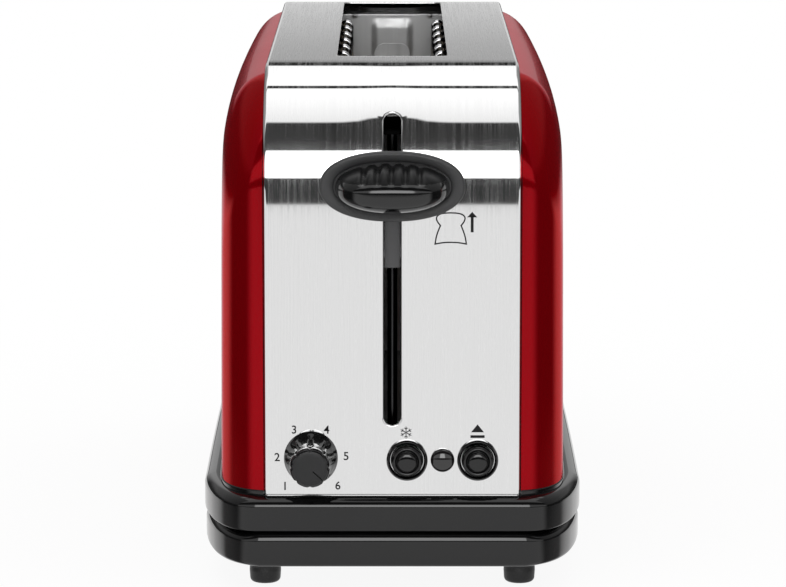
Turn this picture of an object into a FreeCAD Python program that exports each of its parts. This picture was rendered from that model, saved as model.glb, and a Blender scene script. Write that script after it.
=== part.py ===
import FreeCAD, Part

import math
import operator
import os

import Sketcher

# A pop-up toaster with one long slot, in millimetres. +Z is up, the lever end faces -Y and the long
# axis runs along Y. The origin is on the table, under the middle of the whole object.
# "Depth" below always means the distance behind the flat of the front panel, along +Y.

DRIVING = {
    # whole body
    "front_y": -185.0,         # the flat of the front panel
    "body_length": 384.0,      # front panel to rear panel
    "body_top": 211.5,
    "base_top": 42.2,
    "tier_split": 28.0,        # groove between the two tiers of the base
    "foot_height": 13.7,
    "foot_radius": 6.3,
    "foot_x": 52.0,
    "foot_depth": 30.0,
    # base outline, seen from above
    "base_half": 78.0,
    "base_overhang": 6.0,
    "base_flat_half": 54.0,
    "base_corner_x": 22.0,
    "base_corner_y": 46.0,
    "base_wall": 3.0,
    "base_bore_half": 62.0,    # the openings through the collar and the tray below it
    "tray_bore_half": 66.0,
    "bore_depth": 7.0,
    # polished steel band
    "band_half": 51.5,
    "band_sheet": 1.0,
    "band_flange": 4.0,
    "flange_clear": 0.5,
    "opening_cut": 40.0,       # how far the cuts for the openings run
    "bend_depth": 52.0,
    "bend_rise": 46.0,
    # bread slot in the top
    "slot_half": 22.8,
    "slot_front": 73.5,
    "slot_rear": 328.0,
    "slot_collar": 5.0,
    # lever slot in the front panel
    "lever_slot_half": 3.4,
    "lever_slot_low": 70.8,
    "lever_slot_high": 194.6,
    # painted side covers
    "cover_reach": 19.4,
    "cover_fall": 41.7,
    "cover_top": 207.0,
    "cover_sheet": 1.2,
    "cover_gap": 0.1,
    # controls on the front panel
    "control_z": 56.5,
    "knob_x": -32.6,
    "knob_z": 57.3,
    "defrost_x": 5.9,
    "cancel_x": 34.2,
    "lens_x": 20.1,
    "cap_radius": 6.3,
    "bezel_radius": 8.25,
    "bezel_bore": 6.6,
    "knob_hole": 4.2,
    "lens_hole": 3.6,
    "gland_hole": 6.1,
    "knob_reach": 21.5,
    "knob_radius": 11.0,
    "lobe_radius": 1.6,
    "pointer_half": 0.45,
    "pointer_low": 1.5,
    "pointer_high": 9.5,
    "pointer_deep": 1.2,
    "shaft_radius": 3.0,
    "shaft_bore": 3.06,
    "pot_half": 8.0,
    "pot_front": 6.0,
    "board_depth": 18.0,
    "board_half": 46.0,
    "board_top": 68.5,
    "board_sheet": 1.6,
    "switch_half": 3.0,
    "switch_depth": 12.6,
    # lever and carriage
    "lever_z": 167.4,
    "flange_half_x": 28.25,
    "flange_half_z": 14.0,
    "grip_half_x": 22.7,
    "grip_half_z": 9.3,
    "grip_reach": 22.0,
    "rod_depth": 15.0,
    "rod_radius": 2.0,
    "rod_bore": 2.06,
    "rod_over": 19.0,          # how far the rod stands over the lever
    "bracket_left": -30.0,
    "bracket_right": 12.0,
    "liner_gap": 0.4,
    "liner_sheet": 1.5,
    "plate_half": 28.0,
    "plate_low": 135.0,
    "plate_sheet": 1.5,
    "block_half": 11.0,
    "spring_x": -23.0,
    "spring_depth": 31.0,
    "magnet_x": 19.0,
    "magnet_half": 7.0,
    "magnet_depth": 27.0,
    "magnet_top": 60.0,
    "latch_low": 148.6,
    "latch_sheet": 1.8,
    "rack_high": 140.0,
    "tooth_half": 12.0,
    # toasting chamber
    "chamber_front": 64.0,
    "chamber_rear": 338.0,
    "plate": 1.2,
    "chassis_half": 47.0,
    "chassis_clear": 12.0,     # between the chassis plates and the top of the body
    "floor_half": 56.0,
    "end_bracket_half": 24.0,
    "end_bracket_gap": 2.2,
    "end_bracket_high": 22.8,
    "reflector_x": 41.0,
    "reflector_sheet": 0.8,
    "heater_x": 31.0,
    "board_half_sheet": 0.3,
    "ribbon_half": 0.9,
    "ribbon_sheet": 0.4,
    "guide_x": 19.5,
    "guide_wire": 1.2,
    "guide_hook": 1.9,
    "guide_low": 60.0,
    "guide_high": 203.0,
    "pivot_bore": 1.26,
    # crumb tray
    "tray_half": 41.0,
    "tray_low": 18.0,
    "tray_front": 60.0,
    "tray_height": 3.8,
    "tray_sheet": 1.0,
    "pull_over": 3.0,
    "pull_reach": 6.6,
    "pull_height": 8.6,
}

doc = FreeCAD.newDocument("toaster")
parts = {}


def fill_sheet():
    """One spreadsheet row for each driving dimension: its name, and its value under that alias."""
    sheet = doc.addObject("Spreadsheet::Sheet", "Dims")
    for row, (name, value) in enumerate(DRIVING.items(), start=1):
        sheet.set(f"A{row}", name)
        sheet.set(f"B{row}", str(value))
        sheet.setAlias(f"B{row}", name)
    doc.recompute()
    return sheet


# Counts
GUIDE_WIRES = 9
RIBBON_ROWS = 9
RACK_TEETH = 12
KNOB_LOBES = 8

# How the cover's side view shrinks for each millimetre that it is drawn in
COVER_ENDS, COVER_BEND_DEPTH, COVER_BEND_RISE = 0.95, 0.3, 0.45
COVER_POWER = 2 / 2.4
COVER_ANGLES = (0, 14, 28, 42, 56, 70, 82, 90)

POINTER_ANGLE = -41.0
NEAR = 1e-3

SIGNS = {"+": operator.add, "-": operator.sub, "*": operator.mul, "/": operator.truediv}


class Size:
    """A length that knows its value and the spreadsheet expression it comes from."""

    def __init__(self, value, text):
        self.value = value
        self.text = text

    def __add__(self, other):
        return combine(self, "+", other)

    def __radd__(self, other):
        return combine(other, "+", self)

    def __sub__(self, other):
        return combine(self, "-", other)

    def __rsub__(self, other):
        return combine(other, "-", self)

    def __mul__(self, other):
        return combine(self, "*", other)

    def __rmul__(self, other):
        return combine(other, "*", self)

    def __truediv__(self, other):
        return combine(self, "/", other)

    def __neg__(self):
        return combine(0.0, "-", self)


def size(number):
    """A Size as it is, or a plain number as a Size."""
    return number if isinstance(number, Size) else Size(float(number), f"({float(number)!r})")


def combine(left, sign, right):
    left, right = size(left), size(right)
    return Size(SIGNS[sign](left.value, right.value), f"({left.text} {sign} {right.text})")


def num(number):
    return size(number).value


SHEET = fill_sheet()


class Dims:
    """The sheet's cells as sizes: d.body_top is the cell whose alias is body_top."""

    def __getattr__(self, name):
        return Size(float(SHEET.get(name)), f"Dims.{name}")


d = Dims()


def at_depth(depth):
    """The Y of a point this far behind the front panel."""
    return d.front_y + depth


def bind(thing, prop, number):
    thing.setExpression(prop, size(number).text)


def place(thing, x=0.0, y=0.0, z=0.0):
    bind(thing, "Placement.Base.x", x)
    bind(thing, "Placement.Base.y", y)
    bind(thing, "Placement.Base.z", z)


def keep(label, thing):
    """Registers a finished sub-part; its label names its file."""
    thing.Label = label
    parts[label] = thing
    return thing


# Part primitives


def box(name, x, y, z):
    """A block between two values along each axis."""
    block = doc.addObject("Part::Box", name)
    bind(block, "Length", x[1] - size(x[0]))
    bind(block, "Width", y[1] - size(y[0]))
    bind(block, "Height", z[1] - size(z[0]))
    place(block, x[0], y[0], z[0])
    return block


TURNS = {
    "X": FreeCAD.Rotation(FreeCAD.Vector(0, 1, 0), 90),
    "Y": FreeCAD.Rotation(FreeCAD.Vector(1, 0, 0), -90),
    "Z": FreeCAD.Rotation(),
}


def rod(name, axis, start, radius, length):
    """A round bar from start, along one axis."""
    bar = doc.addObject("Part::Cylinder", name)
    bar.Placement = FreeCAD.Placement(FreeCAD.Vector(), TURNS[axis])
    bind(bar, "Radius", radius)
    bind(bar, "Height", length)
    place(bar, *start)
    return bar


def cut(name, base, *tools):
    """base less every tool."""
    tool = tools[0]
    if len(tools) > 1:
        tool = fuse(name + "_tools", *tools)
    result = doc.addObject("Part::Cut", name)
    result.Base = base
    result.Tool = tool
    return result


def fuse(name, *shapes):
    result = doc.addObject("Part::MultiFuse", name)
    result.Shapes = list(shapes)
    result.Refine = True
    return result


def group(name, *shapes):
    """Separate solids that share one node, such as the screws of one kind."""
    result = doc.addObject("Part::Compound", name)
    result.Links = list(shapes)
    return result


# Part Design helpers


def new_body(label):
    body = doc.addObject("PartDesign::Body", label)
    return keep(label, body)


def new_sketch(body, role, name, shift=0.0):
    """A sketch on one of the body's origin planes, moved along the plane's normal."""
    sketch = body.newObject("Sketcher::SketchObject", f"{body.Label}_{name}")
    plane = [feature for feature in body.Origin.OriginFeatures if feature.Role == role][0]
    sketch.AttachmentSupport = (plane, [""])
    sketch.MapMode = "FlatFace"
    bind(sketch, "AttachmentOffset.Base.z", shift)
    return sketch


def fix(sketch, kind, *target):
    """A dimension of the sketch, bound to the size that comes last in target."""
    *where, number = target
    index = sketch.addConstraint(Sketcher.Constraint(kind, *where, num(number)))
    sketch.setExpression(f"Constraints[{index}]", size(number).text)


def flat(u, v):
    return FreeCAD.Vector(num(u), num(v), 0)


def tie(sketch):
    """Joins every two end points of the sketch that meet."""
    ends = []
    for index, line in enumerate(sketch.Geometry):
        if not isinstance(line, Part.Circle):
            ends.append((index, 1, line.StartPoint))
            ends.append((index, 2, line.EndPoint))
    for i, (index, end, point) in enumerate(ends):
        for other, other_end, other_point in ends[i + 1:]:
            if other != index and point.distanceToPoint(other_point) < NEAR:
                sketch.addConstraint(Sketcher.Constraint("Coincident", index, end, other, other_end))


def draw_polygon(sketch, corners):
    """A closed straight-sided outline, each corner fixed by its two coordinates."""
    first = sketch.GeometryCount
    for i, corner in enumerate(corners):
        sketch.addGeometry(Part.LineSegment(flat(*corner), flat(*corners[(i + 1) % len(corners)])))
    tie(sketch)
    for i, (u, v) in enumerate(corners):
        fix(sketch, "DistanceX", first + i, 1, u)
        fix(sketch, "DistanceY", first + i, 1, v)


def draw_rectangle(sketch, u, v):
    draw_polygon(sketch, [(u[0], v[0]), (u[1], v[0]), (u[1], v[1]), (u[0], v[1])])


def draw_circle(sketch, u, v, radius):
    index = sketch.addGeometry(Part.Circle(flat(u, v), FreeCAD.Vector(0, 0, 1), num(radius)))
    fix(sketch, "DistanceX", index, 3, u)
    fix(sketch, "DistanceY", index, 3, v)
    fix(sketch, "Radius", index, radius)


def draw_arcs_and_lines(sketch, centres, radius, sweep):
    """A closed outline of equal arcs, each turning through sweep degrees, joined by tangent lines.

    centres holds each arc's two coordinates and its first angle, going round anticlockwise.
    """
    first = sketch.GeometryCount
    count = len(centres)
    ends = []
    for u, v, start in centres:
        ring = Part.Circle(flat(u, v), FreeCAD.Vector(0, 0, 1), num(radius))
        begin, end = math.radians(start), math.radians(start + sweep)
        arc = sketch.addGeometry(Part.ArcOfCircle(ring, begin, end))
        ends.append((ring.value(begin), ring.value(end)))
        fix(sketch, "DistanceX", arc, 3, u)
        fix(sketch, "DistanceY", arc, 3, v)
        fix(sketch, "Radius", arc, radius)
    for i in range(count):
        following = (i + 1) % count
        line = sketch.addGeometry(Part.LineSegment(ends[i][1], ends[following][0]))
        sketch.addConstraint(Sketcher.Constraint("Tangent", first + i, 2, line, 1))
        sketch.addConstraint(Sketcher.Constraint("Tangent", line, 2, first + following, 1))


def draw_round_rectangle(sketch, u, v, radius):
    """A rectangle with four rounded corners."""
    low_u, high_u = u[0] + size(radius), u[1] - size(radius)
    low_v, high_v = v[0] + size(radius), v[1] - size(radius)
    centres = [(high_u, high_v, 0), (low_u, high_v, 90), (low_u, low_v, 180), (high_u, low_v, 270)]
    draw_arcs_and_lines(sketch, centres, radius, 90)


def draw_slot(sketch, v, radius):
    """An upright slot with round ends, on the sketch's vertical axis."""
    centres = [(0.0, v[1] - radius, 0), (0.0, v[0] + radius, 180)]
    draw_arcs_and_lines(sketch, centres, radius, 180)


def pad(body, sketch, length, reverse=False, symmetric=False):
    feature = body.newObject("PartDesign::Pad", sketch.Label + "_pad")
    feature.Profile = sketch
    feature.Reversed = reverse
    feature.Midplane = symmetric
    bind(feature, "Length", length)
    doc.recompute()
    return feature


def pocket(body, sketch, length, reverse=False, symmetric=False):
    """A pocket that has to take something away, so the volume before and after is compared."""
    before = body.Shape.Volume
    feature = body.newObject("PartDesign::Pocket", sketch.Label + "_pocket")
    feature.Profile = sketch
    feature.Reversed = reverse
    feature.Midplane = symmetric
    bind(feature, "Length", length)
    doc.recompute()
    if body.Shape.Volume >= before - NEAR:
        raise RuntimeError(f"{sketch.Label} cuts nothing")
    return feature


def revolve(body, sketch):
    """Turns the sketch a full turn about its own vertical axis."""
    feature = body.newObject("PartDesign::Revolution", sketch.Label + "_turned")
    feature.Profile = sketch
    feature.ReferenceAxis = (sketch, ["V_Axis"])
    feature.Angle = 360.0
    doc.recompute()
    return feature


def round_edges(body, radius, chosen):
    """Fillets the edges of the body for which chosen(edge) is true."""
    doc.recompute()
    tip = body.Tip
    names = [f"Edge{i}" for i, edge in enumerate(tip.Shape.Edges, start=1) if chosen(edge)]
    feature = body.newObject("PartDesign::Fillet", f"{body.Label}_round_{len(body.Group)}")
    feature.Base = (tip, names)
    bind(feature, "Radius", radius)
    doc.recompute()
    return feature


def at_height(z):
    """Chooses the edges that lie flat at one height."""
    def chosen(edge):
        bounds = edge.BoundBox
        return bounds.ZLength < NEAR and abs(bounds.ZMin - num(z)) < NEAR
    return chosen


# Base and feet


def draw_base_outline(sketch):
    """The plan of the base: flat ends, elliptical corners and long sides that bow out slightly."""
    half, flat_half = num(d.base_half), num(d.base_flat_half)
    rx, ry = num(d.base_corner_x), num(d.base_corner_y)
    front, rear = num(at_depth(-d.base_overhang)), num(at_depth(d.body_length + d.base_overhang))
    side = flat_half + rx
    middle = (front + rear) / 2
    pieces = []
    corners = [(1, rear, 0, 90), (-1, rear, 90, 180), (-1, front, 180, 270), (1, front, 270, 360)]
    for sign_x, end, start, stop in corners:
        sign_y = 1 if end == rear else -1
        centre = FreeCAD.Vector(sign_x * flat_half, end - sign_y * ry, 0)
        top = FreeCAD.Vector(centre.x, centre.y + ry, 0)
        ellipse = Part.Ellipse(top, FreeCAD.Vector(centre.x - rx, centre.y, 0), centre)
        # the ellipse starts at its major axis, which points along +Y
        pieces.append(Part.ArcOfEllipse(ellipse, math.radians(start - 90), math.radians(stop - 90)))
    lines = [
        Part.LineSegment(FreeCAD.Vector(flat_half, rear, 0), FreeCAD.Vector(-flat_half, rear, 0)),
        Part.Arc(
            FreeCAD.Vector(-side, rear - ry, 0),
            FreeCAD.Vector(-half, middle, 0),
            FreeCAD.Vector(-side, front + ry, 0),
        ),
        Part.LineSegment(FreeCAD.Vector(-flat_half, front, 0), FreeCAD.Vector(flat_half, front, 0)),
        Part.Arc(
            FreeCAD.Vector(side, front + ry, 0),
            FreeCAD.Vector(half, middle, 0),
            FreeCAD.Vector(side, rear - ry, 0),
        ),
    ]
    for corner, line in zip(pieces, lines):
        sketch.addGeometry(corner)
        sketch.addGeometry(line)
    tie(sketch)


def make_base():
    """Two moulded tiers with a groove between them. The lower one is a tray for the crumb drawer."""
    tray = new_body("base_tray")
    plan = new_sketch(tray, "XY_Plane", "plan", d.foot_height)
    draw_base_outline(plan)
    pad(tray, plan, d.tier_split - d.foot_height)
    round_edges(tray, 4.5, at_height(d.foot_height))
    round_edges(tray, 2.0, at_height(d.tier_split))
    hollow = new_sketch(tray, "XY_Plane", "hollow", d.tier_split)
    inner_y = (at_depth(d.bore_depth), at_depth(d.body_length - d.bore_depth))
    draw_round_rectangle(hollow, (-d.tray_bore_half, d.tray_bore_half), inner_y, 2 * d.bore_depth)
    pocket(tray, hollow, d.tier_split - d.foot_height - d.base_wall)
    mouth = new_sketch(tray, "XZ_Plane", "mouth", -at_depth(d.body_length - 20.0))
    draw_rectangle(mouth, (-d.tray_half - 1.0, d.tray_half + 1.0), (d.tray_low - 1.0, d.tray_low + 7.0))
    pocket(tray, mouth, d.opening_cut)

    collar = new_body("base_collar")
    plan = new_sketch(collar, "XY_Plane", "plan", d.tier_split)
    draw_base_outline(plan)
    pad(collar, plan, d.base_top - d.tier_split)
    round_edges(collar, 1.5, at_height(d.tier_split))
    round_edges(collar, 5.0, at_height(d.base_top))
    window = new_sketch(collar, "XY_Plane", "window", d.base_top)
    draw_round_rectangle(window, (-d.base_bore_half, d.base_bore_half), inner_y, 10.0)
    pocket(collar, window, d.base_top - d.tier_split)


def make_feet():
    """Four tapered feet with rounded tips, each turned about its own upright axis."""
    rear_depth = d.body_length - d.foot_depth
    for end, depth in (("front", d.foot_depth), ("rear", rear_depth)):
        for side, sign in (("left", -1), ("right", 1)):
            foot = new_body(f"foot_{end}_{side}")
            place(foot, sign * d.foot_x, at_depth(depth), 0.0)
            section = new_sketch(foot, "XZ_Plane", "section")
            r = d.foot_radius
            draw_polygon(section, [
                (0.0, 0.0), (r - 2.2, 0.0), (r - 0.7, 1.1), (r - 0.1, 3.0), (r, 5.5),
                (r + 0.3, d.foot_height), (0.0, d.foot_height),
            ])
            revolve(foot, section)


# Steel band


def draw_band_strip(sketch, outer_inset, inner_inset, front):
    """Side view of one end of the band, between two lines parallel to its outside."""
    sign = 1.0 if front else -1.0
    end_depth = 0.0 if front else d.body_length
    centre_y, centre_z = at_depth(end_depth + sign * d.bend_depth), d.body_top - d.bend_rise
    angles = (90, 180) if front else (0, 90)
    corners = []
    for inset in (outer_inset, inner_inset):
        ellipse = Part.Ellipse(flat(centre_y, centre_z), num(d.bend_depth - inset), num(d.bend_rise - inset))
        arc = Part.ArcOfEllipse(ellipse, math.radians(angles[0]), math.radians(angles[1]))
        index = sketch.addGeometry(arc)
        fix(sketch, "DistanceX", index, 3, centre_y)
        fix(sketch, "DistanceY", index, 3, centre_z)
        end_y = at_depth(end_depth + sign * inset)
        side, foot = flat(end_y, centre_z), flat(end_y, d.base_top)
        sketch.addGeometry(Part.LineSegment(side, foot))
        corners.append((flat(centre_y, d.body_top - inset), foot))
    sketch.addGeometry(Part.LineSegment(corners[0][0], corners[1][0]))
    sketch.addGeometry(Part.LineSegment(corners[0][1], corners[1][1]))
    tie(sketch)


def band_end(label, front):
    """One end panel of the band: a sheet with its two long edges turned in."""
    panel = new_body(label)
    strip = new_sketch(panel, "YZ_Plane", "strip")
    draw_band_strip(strip, size(0.0), d.band_flange, front)
    pad(panel, strip, 2 * d.band_half, symmetric=True)
    inside = new_sketch(panel, "YZ_Plane", "inside")
    draw_band_strip(inside, d.band_sheet, d.band_flange + 3.0, front)
    pocket(panel, inside, 2 * (d.band_half - d.band_sheet), symmetric=True)
    return panel


def make_band():
    """The front, top and rear panels of the polished band, with their openings."""
    front = band_end("front_panel", True)
    holes = new_sketch(front, "XZ_Plane", "lever_slot", -at_depth(-1.0))
    draw_slot(holes, (d.lever_slot_low, d.lever_slot_high), d.lever_slot_half)
    pocket(front, holes, d.opening_cut)
    for name, x, z, radius in (
        ("knob_hole", d.knob_x, d.knob_z, d.knob_hole),
        ("defrost_hole", d.defrost_x, d.control_z, d.bezel_bore),
        ("cancel_hole", d.cancel_x, d.control_z, d.bezel_bore),
        ("lens_hole", d.lens_x, d.control_z, d.lens_hole),
    ):
        hole = new_sketch(front, "XZ_Plane", name, -at_depth(-1.0))
        draw_circle(hole, x, z, radius)
        pocket(front, hole, 6.0)

    rear = band_end("rear_panel", False)
    hole = new_sketch(rear, "XZ_Plane", "inlet_hole", -at_depth(d.body_length - 8.0))
    draw_circle(hole, 0.0, d.control_z, d.gland_hole)
    pocket(rear, hole, 20.0)

    top = new_body("top_panel")
    ends = (at_depth(d.bend_depth), at_depth(d.body_length - d.bend_depth))
    sheet = new_sketch(top, "XY_Plane", "sheet", d.body_top)
    draw_rectangle(sheet, (-d.band_half, d.band_half), ends)
    pad(top, sheet, d.slot_collar, reverse=True)
    slot_y = (at_depth(d.slot_front), at_depth(d.slot_rear))
    for name, sign in (("left", -1), ("right", 1)):
        channel = new_sketch(top, "XY_Plane", name + "_channel", d.body_top - d.band_sheet)
        x = (sign * (d.slot_half + d.band_sheet), sign * (d.band_half - d.band_sheet))
        draw_rectangle(channel, x if sign > 0 else x[::-1], ends)
        pocket(top, channel, d.slot_collar)
    for name, y in (
        ("front", (ends[0], slot_y[0] - d.band_sheet)),
        ("rear", (slot_y[1] + d.band_sheet, ends[1])),
    ):
        channel = new_sketch(top, "XY_Plane", name + "_channel", d.body_top - d.band_sheet)
        draw_rectangle(channel, (-d.slot_half - 2 * d.band_sheet, d.slot_half + 2 * d.band_sheet), y)
        pocket(top, channel, d.slot_collar)
    slot = new_sketch(top, "XY_Plane", "slot", d.body_top)
    draw_round_rectangle(slot, (-d.slot_half, d.slot_half), slot_y, 3.0)
    pocket(top, slot, d.slot_collar)


# Painted side covers


def cover_section(x, inset, sheet):
    """Side view of a cover at one distance from the middle: the outline drawn in by inset."""
    low = num(d.base_top) - sheet
    front, rear = num(at_depth(COVER_ENDS * inset)), num(at_depth(d.body_length - COVER_ENDS * inset))
    top = num(d.cover_top) - inset
    rx = num(d.bend_depth) - COVER_BEND_DEPTH * inset
    rz = num(d.bend_rise) - COVER_BEND_RISE * inset
    knee = top - rz

    def point(y, z):
        return FreeCAD.Vector(x, y, z)

    def bend(centre_y, first, last):
        ellipse = Part.Ellipse(FreeCAD.Vector(), rx, rz)
        arc = Part.ArcOfEllipse(ellipse, math.radians(first), math.radians(last)).toShape()
        turn = FreeCAD.Rotation(FreeCAD.Vector(1, 1, 1), 120)
        arc.Placement = FreeCAD.Placement(point(centre_y, knee), turn)
        return arc

    edges = [
        Part.makeLine(point(rear, low), point(front, low)),
        Part.makeLine(point(front, low), point(front, knee)),
        bend(front + rx, 90, 180),
        Part.makeLine(point(front + rx, top), point(rear - rx, top)),
        bend(rear - rx, 0, 90),
        Part.makeLine(point(rear, knee), point(rear, low)),
    ]
    return Part.Wire(Part.__sortEdges__(edges))


def cover_solid(sheet):
    """The pillow shape of the right cover. sheet is how far inside the outer surface it lies."""
    start = num(d.band_half + d.cover_gap)
    reach, fall = num(d.cover_reach) - sheet, num(d.cover_fall)
    sections = []
    if sheet:
        sections.append(cover_section(start - 1.0, sheet, sheet))
    for angle in COVER_ANGLES:
        turn = math.radians(angle)
        x = start + reach * math.sin(turn) ** COVER_POWER
        inset = sheet + fall * (1 - math.cos(turn) ** COVER_POWER)
        sections.append(cover_section(x, inset, sheet))
    return Part.makeLoft(sections, True, False)


def make_covers():
    """The two covers: pressed sheet, open towards the middle and at the bottom."""
    shell = cover_solid(0.0).cut(cover_solid(num(d.cover_sheet)))
    mirrored = shell.mirror(FreeCAD.Vector(), FreeCAD.Vector(1, 0, 0))
    for label, shape in (("cover_right", shell), ("cover_left", mirrored)):
        cover = doc.addObject("Part::Feature", label)
        cover.Shape = shape
        keep(label, cover)


# Chassis and toasting chamber


def make_chassis():
    """Sheet steel plates that carry everything inside."""
    half = d.chassis_half
    low, high = d.base_top, d.body_top - d.chassis_clear

    plate = new_body("chassis_front")
    outline = new_sketch(plate, "XZ_Plane", "outline", -at_depth(d.chamber_front))
    draw_rectangle(outline, (-half, half), (low, high - d.chassis_clear))
    pad(plate, outline, d.plate, reverse=True)
    arm_slot = new_sketch(plate, "XZ_Plane", "arm_slot", -at_depth(d.chamber_front - 1.0))
    draw_round_rectangle(arm_slot, (-6.0, 6.0), (low + 4.0, high - 34.0), 5.0)
    pocket(plate, arm_slot, d.plate + 2.0)
    drill_pivots(plate, d.chamber_front)

    plate = new_body("chassis_rear")
    outline = new_sketch(plate, "XZ_Plane", "outline", -at_depth(d.chamber_rear))
    draw_rectangle(outline, (-half, half), (low, high))
    pad(plate, outline, d.plate, reverse=True)
    boss = new_sketch(plate, "XZ_Plane", "boss", -at_depth(d.chamber_rear))
    draw_round_rectangle(boss, (-8.5, 8.5), (low + 60.0, high - 8.0), 5.0)
    pad(plate, boss, 2.0)
    drill_pivots(plate, d.chamber_rear)

    end_gap = d.band_flange + d.flange_clear
    floor_y = (at_depth(end_gap), at_depth(d.chamber_front))
    shelf_y = (at_depth(d.chamber_rear + d.plate), at_depth(d.body_length - end_gap))
    for label, y in (("chassis_floor", floor_y), ("rear_floor", shelf_y)):
        keep(label, box(label, (-d.floor_half, d.floor_half), y, (low, low + d.plate)))

    bracket = new_body("slot_end_bracket")
    outline = new_sketch(bracket, "XZ_Plane", "outline", -at_depth(d.chamber_rear + d.plate))
    side, top = d.end_bracket_half, d.body_top - d.end_bracket_gap
    foot, dip = top - d.end_bracket_high, top - 2.0
    draw_polygon(outline, [
        (-side, foot), (side, foot), (side, top), (side - 8.0, top), (side - 10.0, dip),
        (10.0 - side, dip), (8.0 - side, top), (-side, top),
    ])
    pad(bracket, outline, 1.5, reverse=True)


def drill_pivots(plate, depth):
    """Bearing holes for the two bread guides' lower rods."""
    for name, sign in (("left", -1), ("right", 1)):
        hole = new_sketch(plate, "XZ_Plane", name + "_pivot", -at_depth(depth - 4.0))
        draw_circle(hole, sign * d.guide_x, d.guide_low, d.pivot_bore)
        pocket(plate, hole, 10.0)


def make_chamber():
    """Reflectors, mica boards and heating ribbon on both sides of the bread."""
    y = (at_depth(d.chamber_front + d.plate), at_depth(d.chamber_rear))
    low, high = d.base_top + 1.5, d.body_top - 2 * d.chassis_clear
    for side, sign in (("left", -1), ("right", 1)):
        inner = sign * d.reflector_x
        x = (inner, inner + d.reflector_sheet)
        keep(f"reflector_{side}", box(f"reflector_{side}", x, y, (low, high)))
        board_x = sign * d.heater_x
        board_side = (board_x - d.board_half_sheet, board_x + d.board_half_sheet)
        keep(f"heater_board_{side}", box(f"heater_board_{side}", board_side, y, (low, high)))
        face = board_side[0] - d.ribbon_sheet if sign > 0 else board_side[1]
        strips = []
        for row in range(RIBBON_ROWS):
            z = low + 10.0 + row * (high - low - 20.0) / (RIBBON_ROWS - 1)
            strips.append(box(
                f"ribbon_{side}_{row}", (face, face + d.ribbon_sheet), (y[0] + 6.0, y[1] - 6.0),
                (z - d.ribbon_half, z + d.ribbon_half)
            ))
        keep(f"heating_ribbon_{side}", group(f"heating_ribbon_{side}", *strips))


def make_guides():
    """Wire bread guides: a pivot rod at the bottom, upright wires with hooked tops and two long wires."""
    x, wire, hook = -num(d.guide_x), num(d.guide_wire), num(d.guide_hook)
    low, high = num(d.guide_low), num(d.guide_high)
    pivot_ends = (num(at_depth(d.chamber_front)) - 3.0, num(at_depth(d.chamber_rear)) + 4.0)
    ends = (num(at_depth(d.slot_front)) + 8.0, num(at_depth(d.slot_rear)) - 6.0)
    beside, over, thin, upright = x - 1.3 * wire, 3.0, 0.8 * wire, 0.95 * wire
    wires = [cylinder_between((x, pivot_ends[0], low), (x, pivot_ends[1], low), wire)]
    for z in (low + 66.0, high - 14.0):
        wires.append(cylinder_between((beside, ends[0] - over, z), (beside, ends[1] + over, z), thin))
    gaps = GUIDE_WIRES - 1
    for i in range(GUIDE_WIRES):
        y = ends[0] + i * (ends[1] - ends[0]) / gaps
        wires.append(hooked_wire(x, y, low, high, hook, upright))
    left = wires[0].multiFuse(wires[1:])
    right = left.mirror(FreeCAD.Vector(0, 0, 0), FreeCAD.Vector(1, 0, 0))
    for name, shape in (("bread_guide_left", left), ("bread_guide_right", right)):
        guide = doc.addObject("Part::Feature", name)
        guide.Shape = shape
        keep(name, guide)


def hooked_wire(x, y, low, high, hook, radius):
    """One upright wire that turns over at the top towards -X, swept as a single solid."""
    tip_length = 5.0
    foot, near = FreeCAD.Vector(x, y, low), FreeCAD.Vector(x, y, high - hook)
    crown = FreeCAD.Vector(x - hook, y, high)
    far = FreeCAD.Vector(x - 2 * hook, y, high - hook)
    tip = far - FreeCAD.Vector(0, 0, tip_length)
    turn = Part.Arc(near, crown, far).toShape()
    path = Part.Wire([Part.makeLine(foot, near), turn, Part.makeLine(far, tip)])
    return path.makePipeShell([Part.Wire(Part.makeCircle(radius, foot))], True, False)


def cylinder_between(start, end, radius):
    start, end = FreeCAD.Vector(*start), FreeCAD.Vector(*end)
    return Part.makeCylinder(radius, start.distanceToPoint(end), start, end - start)


# Lever and carriage


def make_guide_rod():
    """The polished rod that the carriage slides on, and the bracket above it."""
    low, high = d.base_top + d.plate, d.lever_z + d.rod_over
    keep("guide_rod", rod("guide_rod", "Z", (0.0, at_depth(d.rod_depth), low), d.rod_radius, high - low))
    bracket_y = (at_depth(d.rod_depth - 4.0), at_depth(d.chamber_front))
    bracket_x = (d.bracket_left, d.bracket_right)
    keep("top_bracket", box("top_bracket", bracket_x, bracket_y, (high, high + d.plate)))
    liner_y = (at_depth(d.band_sheet), at_depth(8.0))
    slot_z = (d.lever_slot_low - 1.0, d.lever_z - 4.0)
    walls = []
    for side, sign in (("left", -1), ("right", 1)):
        near = sign * (d.lever_slot_half + d.liner_gap)
        far = near + sign * d.liner_sheet
        x = (near, far) if sign > 0 else (far, near)
        walls.append(box(f"liner_{side}", x, liner_y, slot_z))
    keep("slot_liner", group("slot_liner", *walls))


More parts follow.
